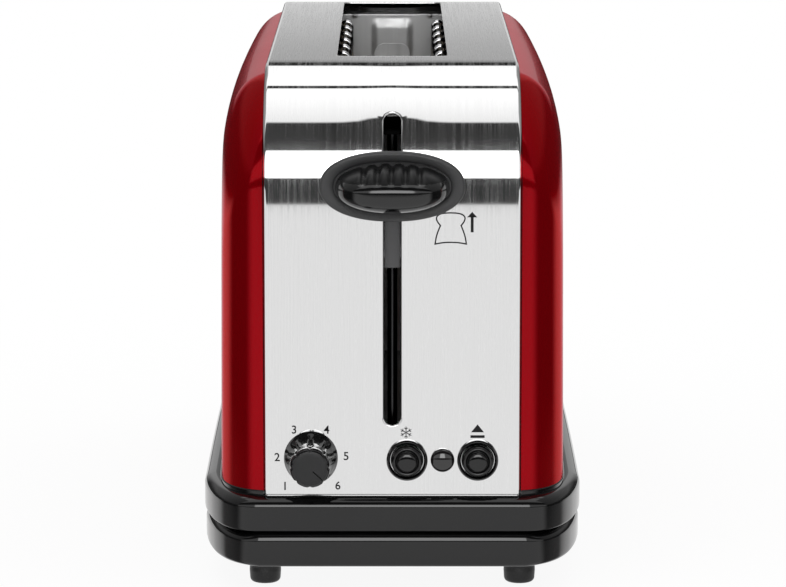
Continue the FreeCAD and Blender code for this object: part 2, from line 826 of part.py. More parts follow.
def make_carriage():
    """Everything that goes down with the lever."""
    z = d.lever_z
    arm_z = (z - 6.0, z + 4.0)

    flange = new_body("lever_flange")
    face = new_sketch(flange, "XZ_Plane", "face", -at_depth(-2.0))
    ellipse = Part.Ellipse(flat(0.0, z), num(d.flange_half_x), num(d.flange_half_z))
    index = face.addGeometry(ellipse)
    fix(face, "DistanceX", index, 3, 0.0)
    fix(face, "DistanceY", index, 3, z)
    pad(flange, face, 3.0)
    round_edges(flange, 1.2, lambda edge: edge.BoundBox.XLength > 20.0)

    ball = doc.addObject("Part::Ellipsoid", "grip_ball")
    bind(ball, "Radius1", d.grip_half_z)
    bind(ball, "Radius2", d.grip_half_x)
    bind(ball, "Radius3", d.grip_reach)
    place(ball, 0.0, at_depth(-5.0), z)
    behind = box("grip_back", (-40.0, 40.0), (at_depth(-5.0), at_depth(30.0)), (z - 30.0, z + 30.0))
    keep("lever_grip", cut("lever_grip", ball, behind))

    arm = box("lever_arm", (-2.4, 2.4), (at_depth(-2.0), at_depth(d.rod_depth - 6.0)), arm_z)
    keep("lever_arm", arm)
    shield = box("slot_shield", (-3.0, 3.0), (at_depth(2.6), at_depth(3.6)), (134.0, arm_z[0]))
    keep("slot_shield", shield)

    block = new_body("carriage_block")
    face = new_sketch(block, "XY_Plane", "face", z - 9.0)
    block_y = (at_depth(d.rod_depth - 6.0), at_depth(d.rod_depth + 9.0))
    draw_rectangle(face, (-d.block_half, d.block_half), block_y)
    pad(block, face, 14.0)
    bore = new_sketch(block, "XY_Plane", "bore", z + 6.0)
    draw_circle(bore, 0.0, at_depth(d.rod_depth), d.rod_bore)
    pocket(block, bore, 30.0)

    sheet_y = (block_y[1], block_y[1] + d.plate_sheet)
    sheet = box("carriage_sheet", (-d.plate_half, d.plate_half), sheet_y, (d.plate_low, z + 5.0))
    tab_z = (d.plate_low, d.plate_low + d.plate_sheet)
    tab = box("spring_tab", (-d.plate_half, 10.0 - d.plate_half), (sheet_y[0], sheet_y[1] + 9.0), tab_z)
    keep("carriage_plate", fuse("carriage_plate", sheet, tab))
    latch_x = (d.block_half, d.plate_half - 1.0)
    latch_z = (d.latch_low, d.latch_low + d.latch_sheet)
    keep("latch_armature", box("latch_armature", latch_x, (sheet_y[1], sheet_y[1] + 17.0), latch_z))

    rail_y = (at_depth(d.chamber_front + 8.0), at_depth(d.chamber_rear - 6.0))
    tooth_z = (d.rack_high - 2.0, d.rack_high)
    bar = box("rack_bar", (-4.0, 4.0), (sheet_y[1], rail_y[0]), (tooth_z[0], tooth_z[0] + 8.0))
    keep("rack_arm", bar)
    rail = box("rack_rail", (-1.5, 1.5), rail_y, (d.rack_high - 4.0, d.rack_high))
    teeth = []
    margin = d.tooth_half
    for i in range(RACK_TEETH):
        y = rail_y[0] + margin + i * (rail_y[1] - rail_y[0] - 2 * margin) / (RACK_TEETH - 1)
        tooth_x = (-d.tooth_half, d.tooth_half)
        teeth.append(box(f"rack_tooth_{i}", tooth_x, (y - 1.0, y + 1.0), tooth_z))
    keep("bread_rack", fuse("bread_rack", rail, *teeth))

    coil_low, coil_high = num(tab_z[1]), num(z + d.rod_over)
    pitch, radius, wire = 3.2, 3.2, 0.5
    helix = Part.makeHelix(pitch, coil_high - coil_low - 2 * wire, radius)
    start = FreeCAD.Vector(radius, 0, 0)
    section = Part.Wire(Part.makeCircle(wire, start, FreeCAD.Vector(0, 1, 0)))
    shape = Part.Wire(helix).makePipeShell([section], True, True)
    spring = doc.addObject("Part::Feature", "carriage_spring")
    spring.Shape = shape
    place(spring, d.spring_x, at_depth(d.spring_depth), coil_low + wire)
    keep("carriage_spring", spring)


# Controls


def make_knob():
    """Browning control: a lobed skirt that narrows to a flat face with a pointer groove."""
    knob = new_body("browning_knob")
    place(knob, d.knob_x, d.front_y, d.knob_z)
    section = new_sketch(knob, "XY_Plane", "section")
    r, face = d.knob_radius, -d.knob_reach
    draw_polygon(section, [
        (0.0, -0.5), (r, -0.5), (r, -3.0), (r - 0.4, -8.0), (r - 1.4, -13.0), (r - 2.3, -17.0),
        (r - 2.6, face + 1.0), (r - 3.4, face), (0.0, face),
    ])
    revolve(knob, section)
    groove = new_sketch(knob, "XZ_Plane", "groove", d.knob_reach + 1.0)
    draw_circle(groove, 0.0, r + 0.4, d.lobe_radius)
    first = pocket(knob, groove, 20.0)
    pattern = knob.newObject("PartDesign::PolarPattern", "knob_lobes")
    pattern.Originals = [first]
    pattern.Axis = (groove, ["N_Axis"])
    pattern.Angle = 360.0
    pattern.Occurrences = KNOB_LOBES
    knob.Tip = pattern
    doc.recompute()
    pointer = new_sketch(knob, "XZ_Plane", "pointer", d.knob_reach + 1.0)
    cosine, sine = math.cos(math.radians(POINTER_ANGLE)), math.sin(math.radians(POINTER_ANGLE))
    near, far, half = d.pointer_low, d.pointer_high, d.pointer_half
    draw_polygon(pointer, [
        (reach * cosine - side * half * sine, reach * sine + side * half * cosine)
        for reach, side in ((near, -1.0), (far, -1.0), (far, 1.0), (near, 1.0))
    ])
    pocket(knob, pointer, d.pointer_deep + 1.0)

    shaft = rod("knob_shaft", "Y", (d.knob_x, at_depth(-0.5), d.knob_z), d.shaft_radius, 14.0)
    keep("knob_shaft", shaft)
    case_x = (d.knob_x - d.pot_half, d.knob_x + d.pot_half)
    case_z = (d.knob_z - d.pot_half, d.knob_z + d.pot_half)
    case = box("potentiometer_case", case_x, (at_depth(d.pot_front), at_depth(d.board_depth)), case_z)
    bore_start = (d.knob_x, at_depth(d.pot_front - 1.0), d.knob_z)
    bore = rod("potentiometer_bore", "Y", bore_start, d.shaft_bore, 9.0)
    keep("potentiometer", cut("potentiometer", case, bore))


def turned(label, x, z, outline):
    """A round piece on the front panel, turned about an axis along Y. outline is (radius, depth)."""
    body = new_body(label)
    place(body, x, d.front_y, z)
    section = new_sketch(body, "XY_Plane", "section")
    draw_polygon(section, outline)
    revolve(body, section)
    return body


def make_buttons():
    """Two push buttons in fixed bezels with a pilot lens between them."""
    cap, bezel, bore = d.cap_radius, d.bezel_radius, d.bezel_bore
    for label, x in (("defrost", d.defrost_x), ("cancel", d.cancel_x)):
        turned(f"{label}_bezel", x, d.control_z, [
            (bore, 0.0), (bezel, 0.0), (bezel, -1.4), (bezel - 0.8, -2.4), (bore, -2.4),
        ])
        turned(f"{label}_button", x, d.control_z, [
            (0.0, -6.2), (2.4, -6.0), (3.8, -5.0), (4.3, -4.4), (5.4, -4.8), (cap, -4.2), (cap, -1.2),
            (2.2, -1.2), (2.2, 9.0), (0.0, 9.0),
        ])
    turned("indicator_lens", d.lens_x, d.control_z, [
        (0.0, -3.0), (2.4, -2.5), (4.0, -1.4), (4.8, 0.0), (3.5, 0.0), (3.5, 3.0), (0.0, 3.0),
    ])
    switches = []
    half = d.switch_half
    for label, x in (("defrost", d.defrost_x), ("cancel", d.cancel_x)):
        switches.append(box(
            f"{label}_switch", (x - half, x + half), (at_depth(d.switch_depth), at_depth(d.board_depth)),
            (d.control_z - half, d.control_z + half)
        ))
    keep("switch_blocks", group("switch_blocks", *switches))
    board = new_body("control_board")
    outline = new_sketch(board, "XZ_Plane", "outline", -at_depth(d.board_depth))
    low = d.base_top + d.plate
    draw_rectangle(outline, (-d.board_half, d.board_half), (low, d.board_top))
    pad(board, outline, d.board_sheet, reverse=True)
    magnet_x = (d.magnet_x - d.magnet_half, d.magnet_x + d.magnet_half)
    magnet_y = (at_depth(d.magnet_depth), at_depth(d.magnet_depth + 15.0))
    keep("electromagnet", box("electromagnet", magnet_x, magnet_y, (low, d.magnet_top)))


# Rear and underside


def make_rear():
    """Cord gland, terminal block, screws and the crumb tray with its pull."""
    gland = new_body("cord_gland")
    place(gland, 0.0, at_depth(d.body_length), d.control_z)
    section = new_sketch(gland, "XY_Plane", "section")
    draw_polygon(section, [
        (3.6, -6.0), (8.0, -6.0), (8.0, -1.0), (6.0, -1.0), (6.0, 0.0), (8.5, 0.0), (8.5, 2.0), (6.5, 4.0),
        (3.6, 4.0),
    ])
    revolve(gland, section)
    block_y = (at_depth(d.body_length - 24.0), at_depth(d.body_length - 12.0))
    low = d.base_top + d.plate
    keep("terminal_block", box("terminal_block", (20.0, 46.0), block_y, (low, low + 14.0)))

    screws = []
    for i, (x, depth) in enumerate([(-40.0, 14.0), (40.0, 14.0), (-40.0, 370.0), (40.0, 370.0)]):
        screws.append(rod(f"base_screw_{i}", "Z", (x, at_depth(depth), d.foot_height - 1.6), 3.2, 1.6))
    keep("base_screws", group("base_screws", *screws))
    screws = []
    for i, (x, z) in enumerate([(-42.0, 54.0), (42.0, 54.0), (-42.0, 150.0), (42.0, 150.0)]):
        screws.append(rod(f"rear_screw_{i}", "Y", (x, at_depth(d.body_length), z), 2.8, 1.5))
    keep("rear_screws", group("rear_screws", *screws))

    tray = new_body("crumb_tray")
    plan = new_sketch(tray, "XY_Plane", "plan", d.tray_low)
    rear_end = at_depth(d.body_length + d.base_overhang + 0.4)
    draw_rectangle(plan, (-d.tray_half, d.tray_half), (at_depth(d.tray_front), rear_end))
    pad(tray, plan, d.tray_height)
    inside = new_sketch(tray, "XY_Plane", "inside", d.tray_low + d.tray_height)
    inside_y = (at_depth(d.tray_front + d.tray_sheet), rear_end - 16.0)
    inner_half = d.tray_half - d.tray_sheet
    draw_round_rectangle(inside, (-inner_half, inner_half), inside_y, 4.0)
    pocket(tray, inside, d.tray_height - 0.8)

    pull = new_body("crumb_tray_pull")
    low, half = d.tray_low - 0.4, d.tray_half + d.pull_over
    plan = new_sketch(pull, "XY_Plane", "plan", low)
    draw_round_rectangle(plan, (-half, half), (rear_end, rear_end + d.pull_reach), 3.2)
    pad(pull, plan, d.pull_height)
    round_edges(pull, 1.2, at_height(low + d.pull_height))


def export():
    """Checks every object of the document, then writes one file for each sub-part."""
    doc.recompute()
    for thing in doc.Objects:
        if "Invalid" in thing.State or "Error" in thing.State:
            raise RuntimeError(f"{thing.Name} failed: {thing.State}")
    for label, thing in parts.items():
        shape = thing.Shape
        if shape.isNull() or not shape.isValid() or not shape.Solids:
            raise RuntimeError(f"{label} has no valid solid")
    os.makedirs("parts", exist_ok=True)
    for label, thing in parts.items():
        thing.Shape.exportStep(f"parts/{label}.step")
        bounds = thing.Shape.BoundBox
        print(f"{label}: {thing.Shape.Volume:.0f} mm3, y {bounds.YMin:.1f} to {bounds.YMax:.1f}, "
              f"z {bounds.ZMin:.1f} to {bounds.ZMax:.1f}")


make_base()
make_feet()
make_band()
make_covers()
make_chassis()
make_chamber()
make_guides()
make_guide_rod()
make_carriage()
make_knob()
make_buttons()
make_rear()
export()
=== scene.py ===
import math
from bisect import bisect_right

import bmesh
import bpy
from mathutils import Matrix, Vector
from mathutils.geometry import delaunay_2d_cdt


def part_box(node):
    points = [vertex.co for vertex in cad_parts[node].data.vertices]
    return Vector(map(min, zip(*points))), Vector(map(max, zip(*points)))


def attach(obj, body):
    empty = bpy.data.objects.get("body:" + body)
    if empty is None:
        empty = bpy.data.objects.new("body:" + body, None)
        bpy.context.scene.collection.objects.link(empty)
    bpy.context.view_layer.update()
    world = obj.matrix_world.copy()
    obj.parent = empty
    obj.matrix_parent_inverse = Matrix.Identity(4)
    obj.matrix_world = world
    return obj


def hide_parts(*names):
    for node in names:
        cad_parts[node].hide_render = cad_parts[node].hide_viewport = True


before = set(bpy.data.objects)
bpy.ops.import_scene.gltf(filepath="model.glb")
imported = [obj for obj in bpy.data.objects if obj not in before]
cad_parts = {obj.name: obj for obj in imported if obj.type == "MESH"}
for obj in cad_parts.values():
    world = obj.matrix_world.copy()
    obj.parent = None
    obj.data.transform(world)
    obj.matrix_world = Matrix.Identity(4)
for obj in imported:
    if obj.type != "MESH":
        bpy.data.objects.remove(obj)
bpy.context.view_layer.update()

# Lengths below are millimetres. "depth" is the distance behind the flat of the front panel, along +Y.

MM = 0.001
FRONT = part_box("front_panel")[0].y / MM
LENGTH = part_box("rear_panel")[1].y / MM - FRONT
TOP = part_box("top_panel")[1].z / MM
PANEL_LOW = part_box("front_panel")[0].z / MM
BAND_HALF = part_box("top_panel")[1].x / MM
BEND_DEPTH, BEND_RISE = 52.0, 46.0

WHITE = (1.0, 1.0, 1.0, 1.0)

scene = bpy.context.scene


def point(x, depth, z):
    return Vector((x * MM, (FRONT + depth) * MM, z * MM))


def smoothstep(low, high, value):
    t = min(max((value - low) / (high - low), 0.0), 1.0)
    return t * t * (3.0 - 2.0 * t)


# Camera

camera = bpy.data.objects.new("camera", bpy.data.cameras.new("camera"))
scene.collection.objects.link(camera)
camera.data.sensor_width = 36.0
camera.data.lens = 183.94
camera.data.shift_x = 0.0009
camera.data.shift_y = -0.0006
camera.data.clip_end = 60.0
camera.location = point(0.0, -1577.72, 375.24)
camera.rotation_euler = (math.radians(90.0 - 9.0407), 0.0, 0.0)
scene.camera = camera


# Materials


class Nodes:
    """Adds shader nodes to one node tree and links them."""

    def __init__(self, tree):
        self.tree = tree
        self.tree.nodes.clear()

    def add(self, kind, inputs=None, **settings):
        node = self.tree.nodes.new(kind)
        for key, value in settings.items():
            setattr(node, key, value)
        for key, value in (inputs or {}).items():
            self.feed(node.inputs[key], value)
        return node

    def feed(self, socket, value):
        if isinstance(value, bpy.types.NodeSocket):
            self.tree.links.new(value, socket)
        else:
            socket.default_value = value

    def math(self, operation, *values):
        return self.add("ShaderNodeMath", dict(enumerate(values)), operation=operation).outputs[0]

    def product(self, a, b):
        return self.math("MULTIPLY", a, b)

    def greatest(self, a, b):
        return self.math("MAXIMUM", a, b)

    def blend(self, a, b, share):
        """share of a with the rest of b."""
        return self.math("ADD", self.product(a, share), self.product(b, 1.0 - share))

    def degrees(self, across, forward):
        return self.product(self.math("ARCTAN2", across, forward), 180 / math.pi)

    def remap(self, value, low, high, out_low=0.0, out_high=1.0, smooth=True):
        return self.add("ShaderNodeMapRange", {
            "Value": value, "From Min": low, "From Max": high, "To Min": out_low, "To Max": out_high,
        }, interpolation_type="SMOOTHSTEP" if smooth else "LINEAR").outputs["Result"]

    def ramp(self, value, *stops):
        """A colour ramp through (position, colour) stops; a single number is a grey."""
        node = self.add("ShaderNodeValToRGB", {"Fac": value})
        elements = node.color_ramp.elements
        while len(elements) < len(stops):
            elements.new(0.5)
        for element, (position, colour) in zip(elements, stops):
            element.position = position
            element.color = (*colour, 1.0) if isinstance(colour, tuple) else (colour, colour, colour, 1.0)
        return node.outputs["Color"]

    def place(self):
        return self.add("ShaderNodeTexCoord").outputs["Object"]

    def grain(self, scales, detail, roughness):
        """Noise over the piece's own coordinates, with its scale along each axis in cycles per metre."""
        placed = self.add("ShaderNodeMapping", {"Vector": self.place(), "Scale": scales})
        return self.add("ShaderNodeTexNoise", {
            "Vector": placed.outputs["Vector"], "Scale": 1.0, "Detail": detail, "Roughness": roughness,
        }).outputs["Fac"]

    def bump(self, height, strength, distance):
        node = self.add("ShaderNodeBump", {"Strength": strength, "Distance": distance, "Height": height})
        return node.outputs["Normal"]

    def mix(self, share, first, second):
        return self.add("ShaderNodeMixShader", {0: share, 1: first, 2: second}).outputs[0]

    def light(self, kind, colour, strength=1.0):
        return self.add(f"ShaderNode{kind}", {"Color": colour, "Strength": strength}).outputs[0]

    def output(self, kind, surface):
        self.add(f"ShaderNodeOutput{kind}", {"Surface": surface})


def material(name, colour, roughness, metallic=0.0, **sockets):
    """A Principled material with constant sockets.

    Returns the material, its Nodes and a function that feeds a socket of its shader.
    """
    made = bpy.data.materials.new(name)
    made.use_nodes = True
    nodes = Nodes(made.node_tree)
    shader = nodes.add("ShaderNodeBsdfPrincipled", {
        "Base Color": (*colour, 1.0), "Roughness": roughness, "Metallic": metallic, **sockets,
    })
    nodes.output("Material", shader.outputs["BSDF"])
    return made, nodes, lambda socket, value: nodes.feed(shader.inputs[socket], value)


def shades(colour, low, high):
    """The two ends of a ramp between a darker and a lighter version of one colour."""
    return (0.0, tuple(low * c for c in colour)), (1.0, tuple(min(high * c, 1.0) for c in colour))


def brushed_steel():
    """Bright steel brushed along the band: up the front, along the top and down the rear."""
    made, nodes, feed = material("steel_brushed", (0.76, 0.76, 0.76), 0.035, 1.0, **{
        "Coat Roughness": 0.32, "Coat IOR": 2.2,
    })
    lines = nodes.grain((1900.0, 22.0, 22.0), 2.0, 0.6)
    broad = nodes.grain((800.0, 10.0, 10.0), 2.0, 0.5)
    both = nodes.blend(lines, broad, 0.65)
    feed("Base Color", nodes.ramp(both, (0.0, 0.735), (1.0, 0.775)))
    feed("Roughness", nodes.remap(both, 0.42, 0.72, 0.030, 0.045))
    # the brush marks scatter light along the band
    feed("Coat Weight", nodes.remap(both, 0.43, 0.60, 0.0, 0.66))
    return made


def red_enamel():
    """High gloss red over a fine metallic ground."""
    made, nodes, feed = material("enamel_red", (0.32, 0.0, 0.004), 0.15, 0.65, **{
        "Coat Weight": 0.14, "Coat Roughness": 0.02, "Coat IOR": 1.5, "Specular IOR Level": 0.0,
        "Specular Tint": (1.0, 0.03, 0.09, 1.0),
    })
    flake = nodes.grain((2600.0, 2600.0, 2600.0), 1.0, 0.5)
    broad = nodes.grain((14.0, 14.0, 14.0), 3.0, 0.5)
    both = nodes.blend(flake, broad, 0.6)
    feed("Base Color", nodes.ramp(both, (0.0, (0.28, 0.0, 0.003)), (1.0, (0.36, 0.0004, 0.006))))
    feed("Roughness", nodes.remap(broad, 0.3, 0.7, 0.14, 0.16))
    peel = nodes.grain((260.0, 260.0, 260.0), 2.0, 0.4)
    feed("Coat Normal", nodes.bump(peel, 0.02, 0.0002))
    return made


def moulded(name, colour, roughness, grain, grain_scale, coat=0.0, specular=0.5):
    """Black or grey moulded plastic: fine surface grain, faint roughness drift, small colour drift."""
    made, nodes, feed = material(name, colour, roughness, 0.0, **{
        "Coat Weight": coat, "Coat Roughness": 0.03, "Specular IOR Level": specular,
    })
    fine = nodes.grain((grain_scale, grain_scale, grain_scale), 3.0, 0.6)
    drift = nodes.grain((35.0, 35.0, 35.0), 3.0, 0.5)
    feed("Base Color", nodes.ramp(drift, *shades(colour, 0.85, 1.2)))
    feed("Roughness", nodes.remap(drift, 0.3, 0.7, 0.85 * roughness, 1.15 * roughness))
    feed("Normal", nodes.bump(fine, grain, 0.0001))
    return made


def sheet_metal(name, colour, roughness, direction, metallic=1.0, bump=0.15):
    """Rolled or plated sheet with fine lines along one direction and blotchy plating."""
    made, nodes, feed = material(name, colour, roughness, metallic)
    lines = nodes.grain([14.0 if axis == direction else 900.0 for axis in range(3)], 3.0, 0.6)
    blotch = nodes.grain((70.0, 70.0, 70.0), 4.0, 0.6)
    both = nodes.blend(lines, blotch, 0.4)
    feed("Base Color", nodes.ramp(both, *shades(colour, 0.72, 1.25)))
    feed("Roughness", nodes.remap(both, 0.3, 0.7, 0.75 * roughness, 1.3 * roughness))
    feed("Normal", nodes.bump(both, bump, 0.0001))
    return made


def circuit_board():
    made, nodes, feed = material("board", (0.02, 0.13, 0.05), 0.35)
    cells = nodes.add("ShaderNodeTexVoronoi", {"Vector": nodes.place(), "Scale": 240.0})
    feed("Base Color", nodes.ramp(cells.outputs["Distance"], (0.0, (0.5, 0.46, 0.3)),
                                  (0.12, (0.03, 0.18, 0.07)), (1.0, (0.015, 0.09, 0.04))))
    return made


MAT = {
    "steel": brushed_steel(),
    "red": red_enamel(),
    "base": moulded("plastic_gloss_black", (0.0035, 0.0035, 0.0037), 0.05, 0.012, 1500.0),
    "control": moulded("plastic_control_black", (0.003, 0.003, 0.0032), 0.06, 0.02, 1800.0, 0.0, 0.5),
    "grip": moulded("plastic_grip_gloss", (0.003, 0.003, 0.0032), 0.12, 0.02, 1800.0, 0.0, 0.6),
    "satin": moulded("plastic_satin_black", (0.037, 0.037, 0.038), 0.42, 0.30, 5200.0),
    "knob_face": moulded("plastic_face_black", (0.014, 0.014, 0.0145), 0.38, 0.30, 5200.0, 0.0, 0.35),
    # the top bracket: a near-black sheet with no specular reflection
    "flat_black": moulded("sheet_flat_black", (0.004, 0.004, 0.004), 0.6, 0.15, 2500.0, 0.0, 0.0),
    "slider": moulded("plastic_slider", (0.11, 0.11, 0.112), 0.55, 0.9, 1500.0, 0.0, 0.3),
    "grip_top": moulded("plastic_grip_black", (0.0035, 0.0035, 0.0037), 0.30, 0.10, 3200.0, 0.0, 0.10),
    "rubber": moulded("rubber_black", (0.006, 0.006, 0.0065), 0.42, 0.25, 3000.0),
    "print": moulded("print_black", (0.012, 0.012, 0.013), 0.5, 0.10, 4000.0, 0.0, 0.15),
    "lens": moulded("lens_smoked", (0.006, 0.005, 0.005), 0.03, 0.01, 900.0, 0.6),
    "zinc": sheet_metal("sheet_zinc", (0.42, 0.42, 0.42), 0.36, 2),
    "far_wall": sheet_metal("sheet_far_wall", (0.38, 0.38, 0.38), 0.42, 2),
    "bracket": sheet_metal("sheet_black", (0.012, 0.012, 0.013), 0.3, 0, 0.0),
    "chrome": sheet_metal("wire_chrome", (0.70, 0.70, 0.71), 0.10, 2, 1.0, 0.03),
    # painted shade: the guide rod gets a near-black colour because it stands in the shade behind the lever
    # slot
    "rod": sheet_metal("rod_dark", (0.05, 0.05, 0.052), 0.2, 2),
    "carriage": sheet_metal("sheet_plated", (0.42, 0.42, 0.43), 0.3, 2),
    "shield": moulded("shield_black", (0.008, 0.008, 0.009), 0.35, 0.15, 2500.0, 0.0, 0.2),
    "mica": sheet_metal("mica_board", (0.42, 0.36, 0.27), 0.5, 1, 0.0, 0.3),
    "ribbon": sheet_metal("ribbon_wire", (0.34, 0.31, 0.28), 0.38, 1),
    "grey_plastic": moulded("plastic_grey", (0.06, 0.06, 0.063), 0.4, 0.2, 3000.0),
    "board": circuit_board(),
    "screw": sheet_metal("screw_plated", (0.5, 0.5, 0.5), 0.25, 0),
}


# Mesh helpers

SEGMENTS = 96                       # round a turned piece


def build(name, verts, faces, mats, body="housing", nodes=(), normals=None, sharp=None):
    """Makes one piece from vertices in metres and gives it its materials and body, and hides the CAD nodes it
    stands in for.
    """
    mesh = bpy.data.meshes.new(name)
    mesh.from_pydata(verts, [], faces)
    mesh.validate()
    mesh.update()
    return dress(name, mesh, mats, body, nodes, normals, sharp)


def dress(name, mesh, mats, body="housing", nodes=(), normals=None, sharp=None):
    """mats names the piece's materials, with spaces between them."""
    piece = bpy.data.objects.new(name, mesh)
    scene.collection.objects.link(piece)
    for entry in mats.split():
        mesh.materials.append(MAT[entry])
    mesh.shade_smooth()
    if normals is not None:
        mesh.normals_split_custom_set_from_vertices(normals)
    elif sharp is not None:
        mesh.set_sharp_from_angle(angle=math.radians(sharp))
    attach(piece, body)
    if nodes:
        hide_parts(*nodes)
    return piece


def paint_second(polygons):
    """Gives these faces the piece's second material."""
    for polygon in polygons:
        polygon.material_index = 1


def round_node(node):
    """Centre x and z, radius, and the depths of the front and the rear of a round CAD node."""
    low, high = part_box(node)
    return ((low.x + high.x) / 2 / MM, (low.z + high.z) / 2 / MM, (high.x - low.x) / 2 / MM,
            low.y / MM - FRONT, high.y / MM - FRONT)


def grid_faces(rows, columns):
    """Quads between the vertices of a grid that is filled row by row."""
    return [(a, a + 1, a + columns + 1, a + columns)
            for row in range(rows - 1) for a in range(row * columns, (row + 1) * columns - 1)]


def ring_faces(first, second, count):
    """Quads between two rings of count vertices each."""
    return [(first * count + k, first * count + (k + 1) % count, second * count + (k + 1) % count,
             second * count + k) for k in range(count)]


def shell(verts, faces, normals, thickness):
    """Closes an open surface into a sheet of the given thickness, on the side away from its normals."""
    count = len(verts)
    inner = [v - n * (thickness * MM) for v, n in zip(verts, normals)]
    closed = list(faces) + [tuple(count + i for i in reversed(face)) for face in faces]
    used = dict.fromkeys(pair for face in faces for pair in zip(face, face[1:] + face[:1]))
    for a, b in used:
        if (b, a) not in used:
            closed.append((b, a, count + a, count + b))
    return list(verts) + inner, closed, list(normals) + [-n for n in normals]


def surface_normals(place, params, step):
    """Outward normals of place(u, v) at each parameter pair, from central differences."""
    normals = []
    for u, v in params:
        du = place(u + step, v) - place(u - step, v)
        dv = place(u, v + step) - place(u, v - step)
        normals.append(du.cross(dv).normalized())
    return normals


def fillet(points, radii, steps, closed=False):
    """Rounds each corner of a 2D polyline by its own radius."""
    made = []
    count = len(points)
    for i, (corner, r) in enumerate(zip(points, radii)):
        if r <= 0.0 or (not closed and i in (0, count - 1)):
            made.append(corner)
            continue
        p, a, b = (Vector(q) for q in (corner, points[i - 1], points[(i + 1) % count]))
        to_a, to_b = (a - p).normalized(), (b - p).normalized()
        half = to_a.angle(to_b) / 2
        if half > math.radians(88.0):
            made.append(corner)
            continue
        reach = min(r / math.tan(half), 0.49 * (a - p).length, 0.49 * (b - p).length)
        r = reach * math.tan(half)
        centre = p + (to_a + to_b).normalized() * (r / math.sin(half))
        start, end = p + to_a * reach - centre, p + to_b * reach - centre
        turn = start.angle_signed(end)
        for k in range(steps + 1):
            c, s = math.cos(-turn * k / steps), math.sin(-turn * k / steps)
            made.append((centre.x + start.x * c - start.y * s, centre.y + start.x * s + start.y * c))
    return made


def lathe(profile, x, z, segments=SEGMENTS, shape=None):
    """Turns (radius, depth) points about an axis along Y through (x, z). Ends on the axis are closed."""
    verts, faces, rings = [], [], []
    for r, depth in profile:
        if r < 1e-6:
            verts.append(point(x, depth, z))
            rings.append([len(verts) - 1])
            continue
        ring = []
        for k in range(segments):
            angle = 2 * math.pi * k / segments
            reach = shape(r, depth, angle) if shape else r
            verts.append(point(x + reach * math.cos(angle), depth, z + reach * math.sin(angle)))
            ring.append(len(verts) - 1)
        rings.append(ring)
    for first, second in zip(rings, rings[1:]):
        for k in range(segments):
            n = (k + 1) % segments
            if len(first) == 1:
                faces.append((first[0], second[k], second[n]))
            elif len(second) == 1:
                faces.append((first[k], second[0], first[n]))
            else:
                faces.append((first[k], second[k], second[n], first[n]))
    return verts, faces


def outward(verts, faces):
    """Turns every face of a closed mesh to point outwards."""
    mesh = bmesh.new()
    made = [mesh.verts.new(v) for v in verts]
    for face in faces:
        mesh.faces.new([made[i] for i in face])
    bmesh.ops.recalc_face_normals(mesh, faces=mesh.faces)
    mesh.verts.index_update()
    turned = [tuple(v.index for v in f.verts) for f in mesh.faces]
    mesh.free()
    return turned


def evaluated(piece):
    """The piece's mesh with its modifiers applied, as a new mesh datablock."""
    graph = bpy.context.evaluated_depsgraph_get()
    return bpy.data.meshes.new_from_object(piece.evaluated_get(graph))


def carve(piece, corners, sharp):
    """Cuts a box out of a closed piece: four corners round one end, then the four facing them."""
    box_faces = [(0, 1, 2, 3), (4, 5, 6, 7), (0, 1, 5, 4), (1, 2, 6, 5), (2, 3, 7, 6), (3, 0, 4, 7)]
    mesh = bpy.data.meshes.new("cutter")
    mesh.from_pydata(corners, [], outward(corners, box_faces))
    cutter = bpy.data.objects.new("cutter", mesh)
    mesh.materials.append(piece.data.materials[0])
    scene.collection.objects.link(cutter)
    modifier = piece.modifiers.new("carve", "BOOLEAN")
    modifier.object = cutter
    modifier.solver = "EXACT"
    made = evaluated(piece)
    piece.modifiers.clear()
    piece.data = made
    made.set_sharp_from_angle(angle=math.radians(sharp))
    bpy.data.objects.remove(cutter)


def smooth_line(points, count):
    """Catmull-Rom points along a short 2D polyline."""
    made = []
    spans = len(points) - 1
    for i in range(count + 1):
        f = spans * i / count
        k = min(int(f), spans - 1)
        t = f - k
        p0, p1, p2, p3 = (Vector(points[min(max(k + j, 0), spans)]) for j in (-1, 0, 1, 2))
        p = 0.5 * (2 * p1 + (p2 - p0) * t + (2 * p0 - 5 * p1 + 4 * p2 - p3) * t * t
                   + (3 * p1 - p0 - 3 * p2 + p3) * t ** 3)
        made.append(tuple(p))
    return made


# Steel band


BEND_STEPS = 60                     # along each of the band's two bends


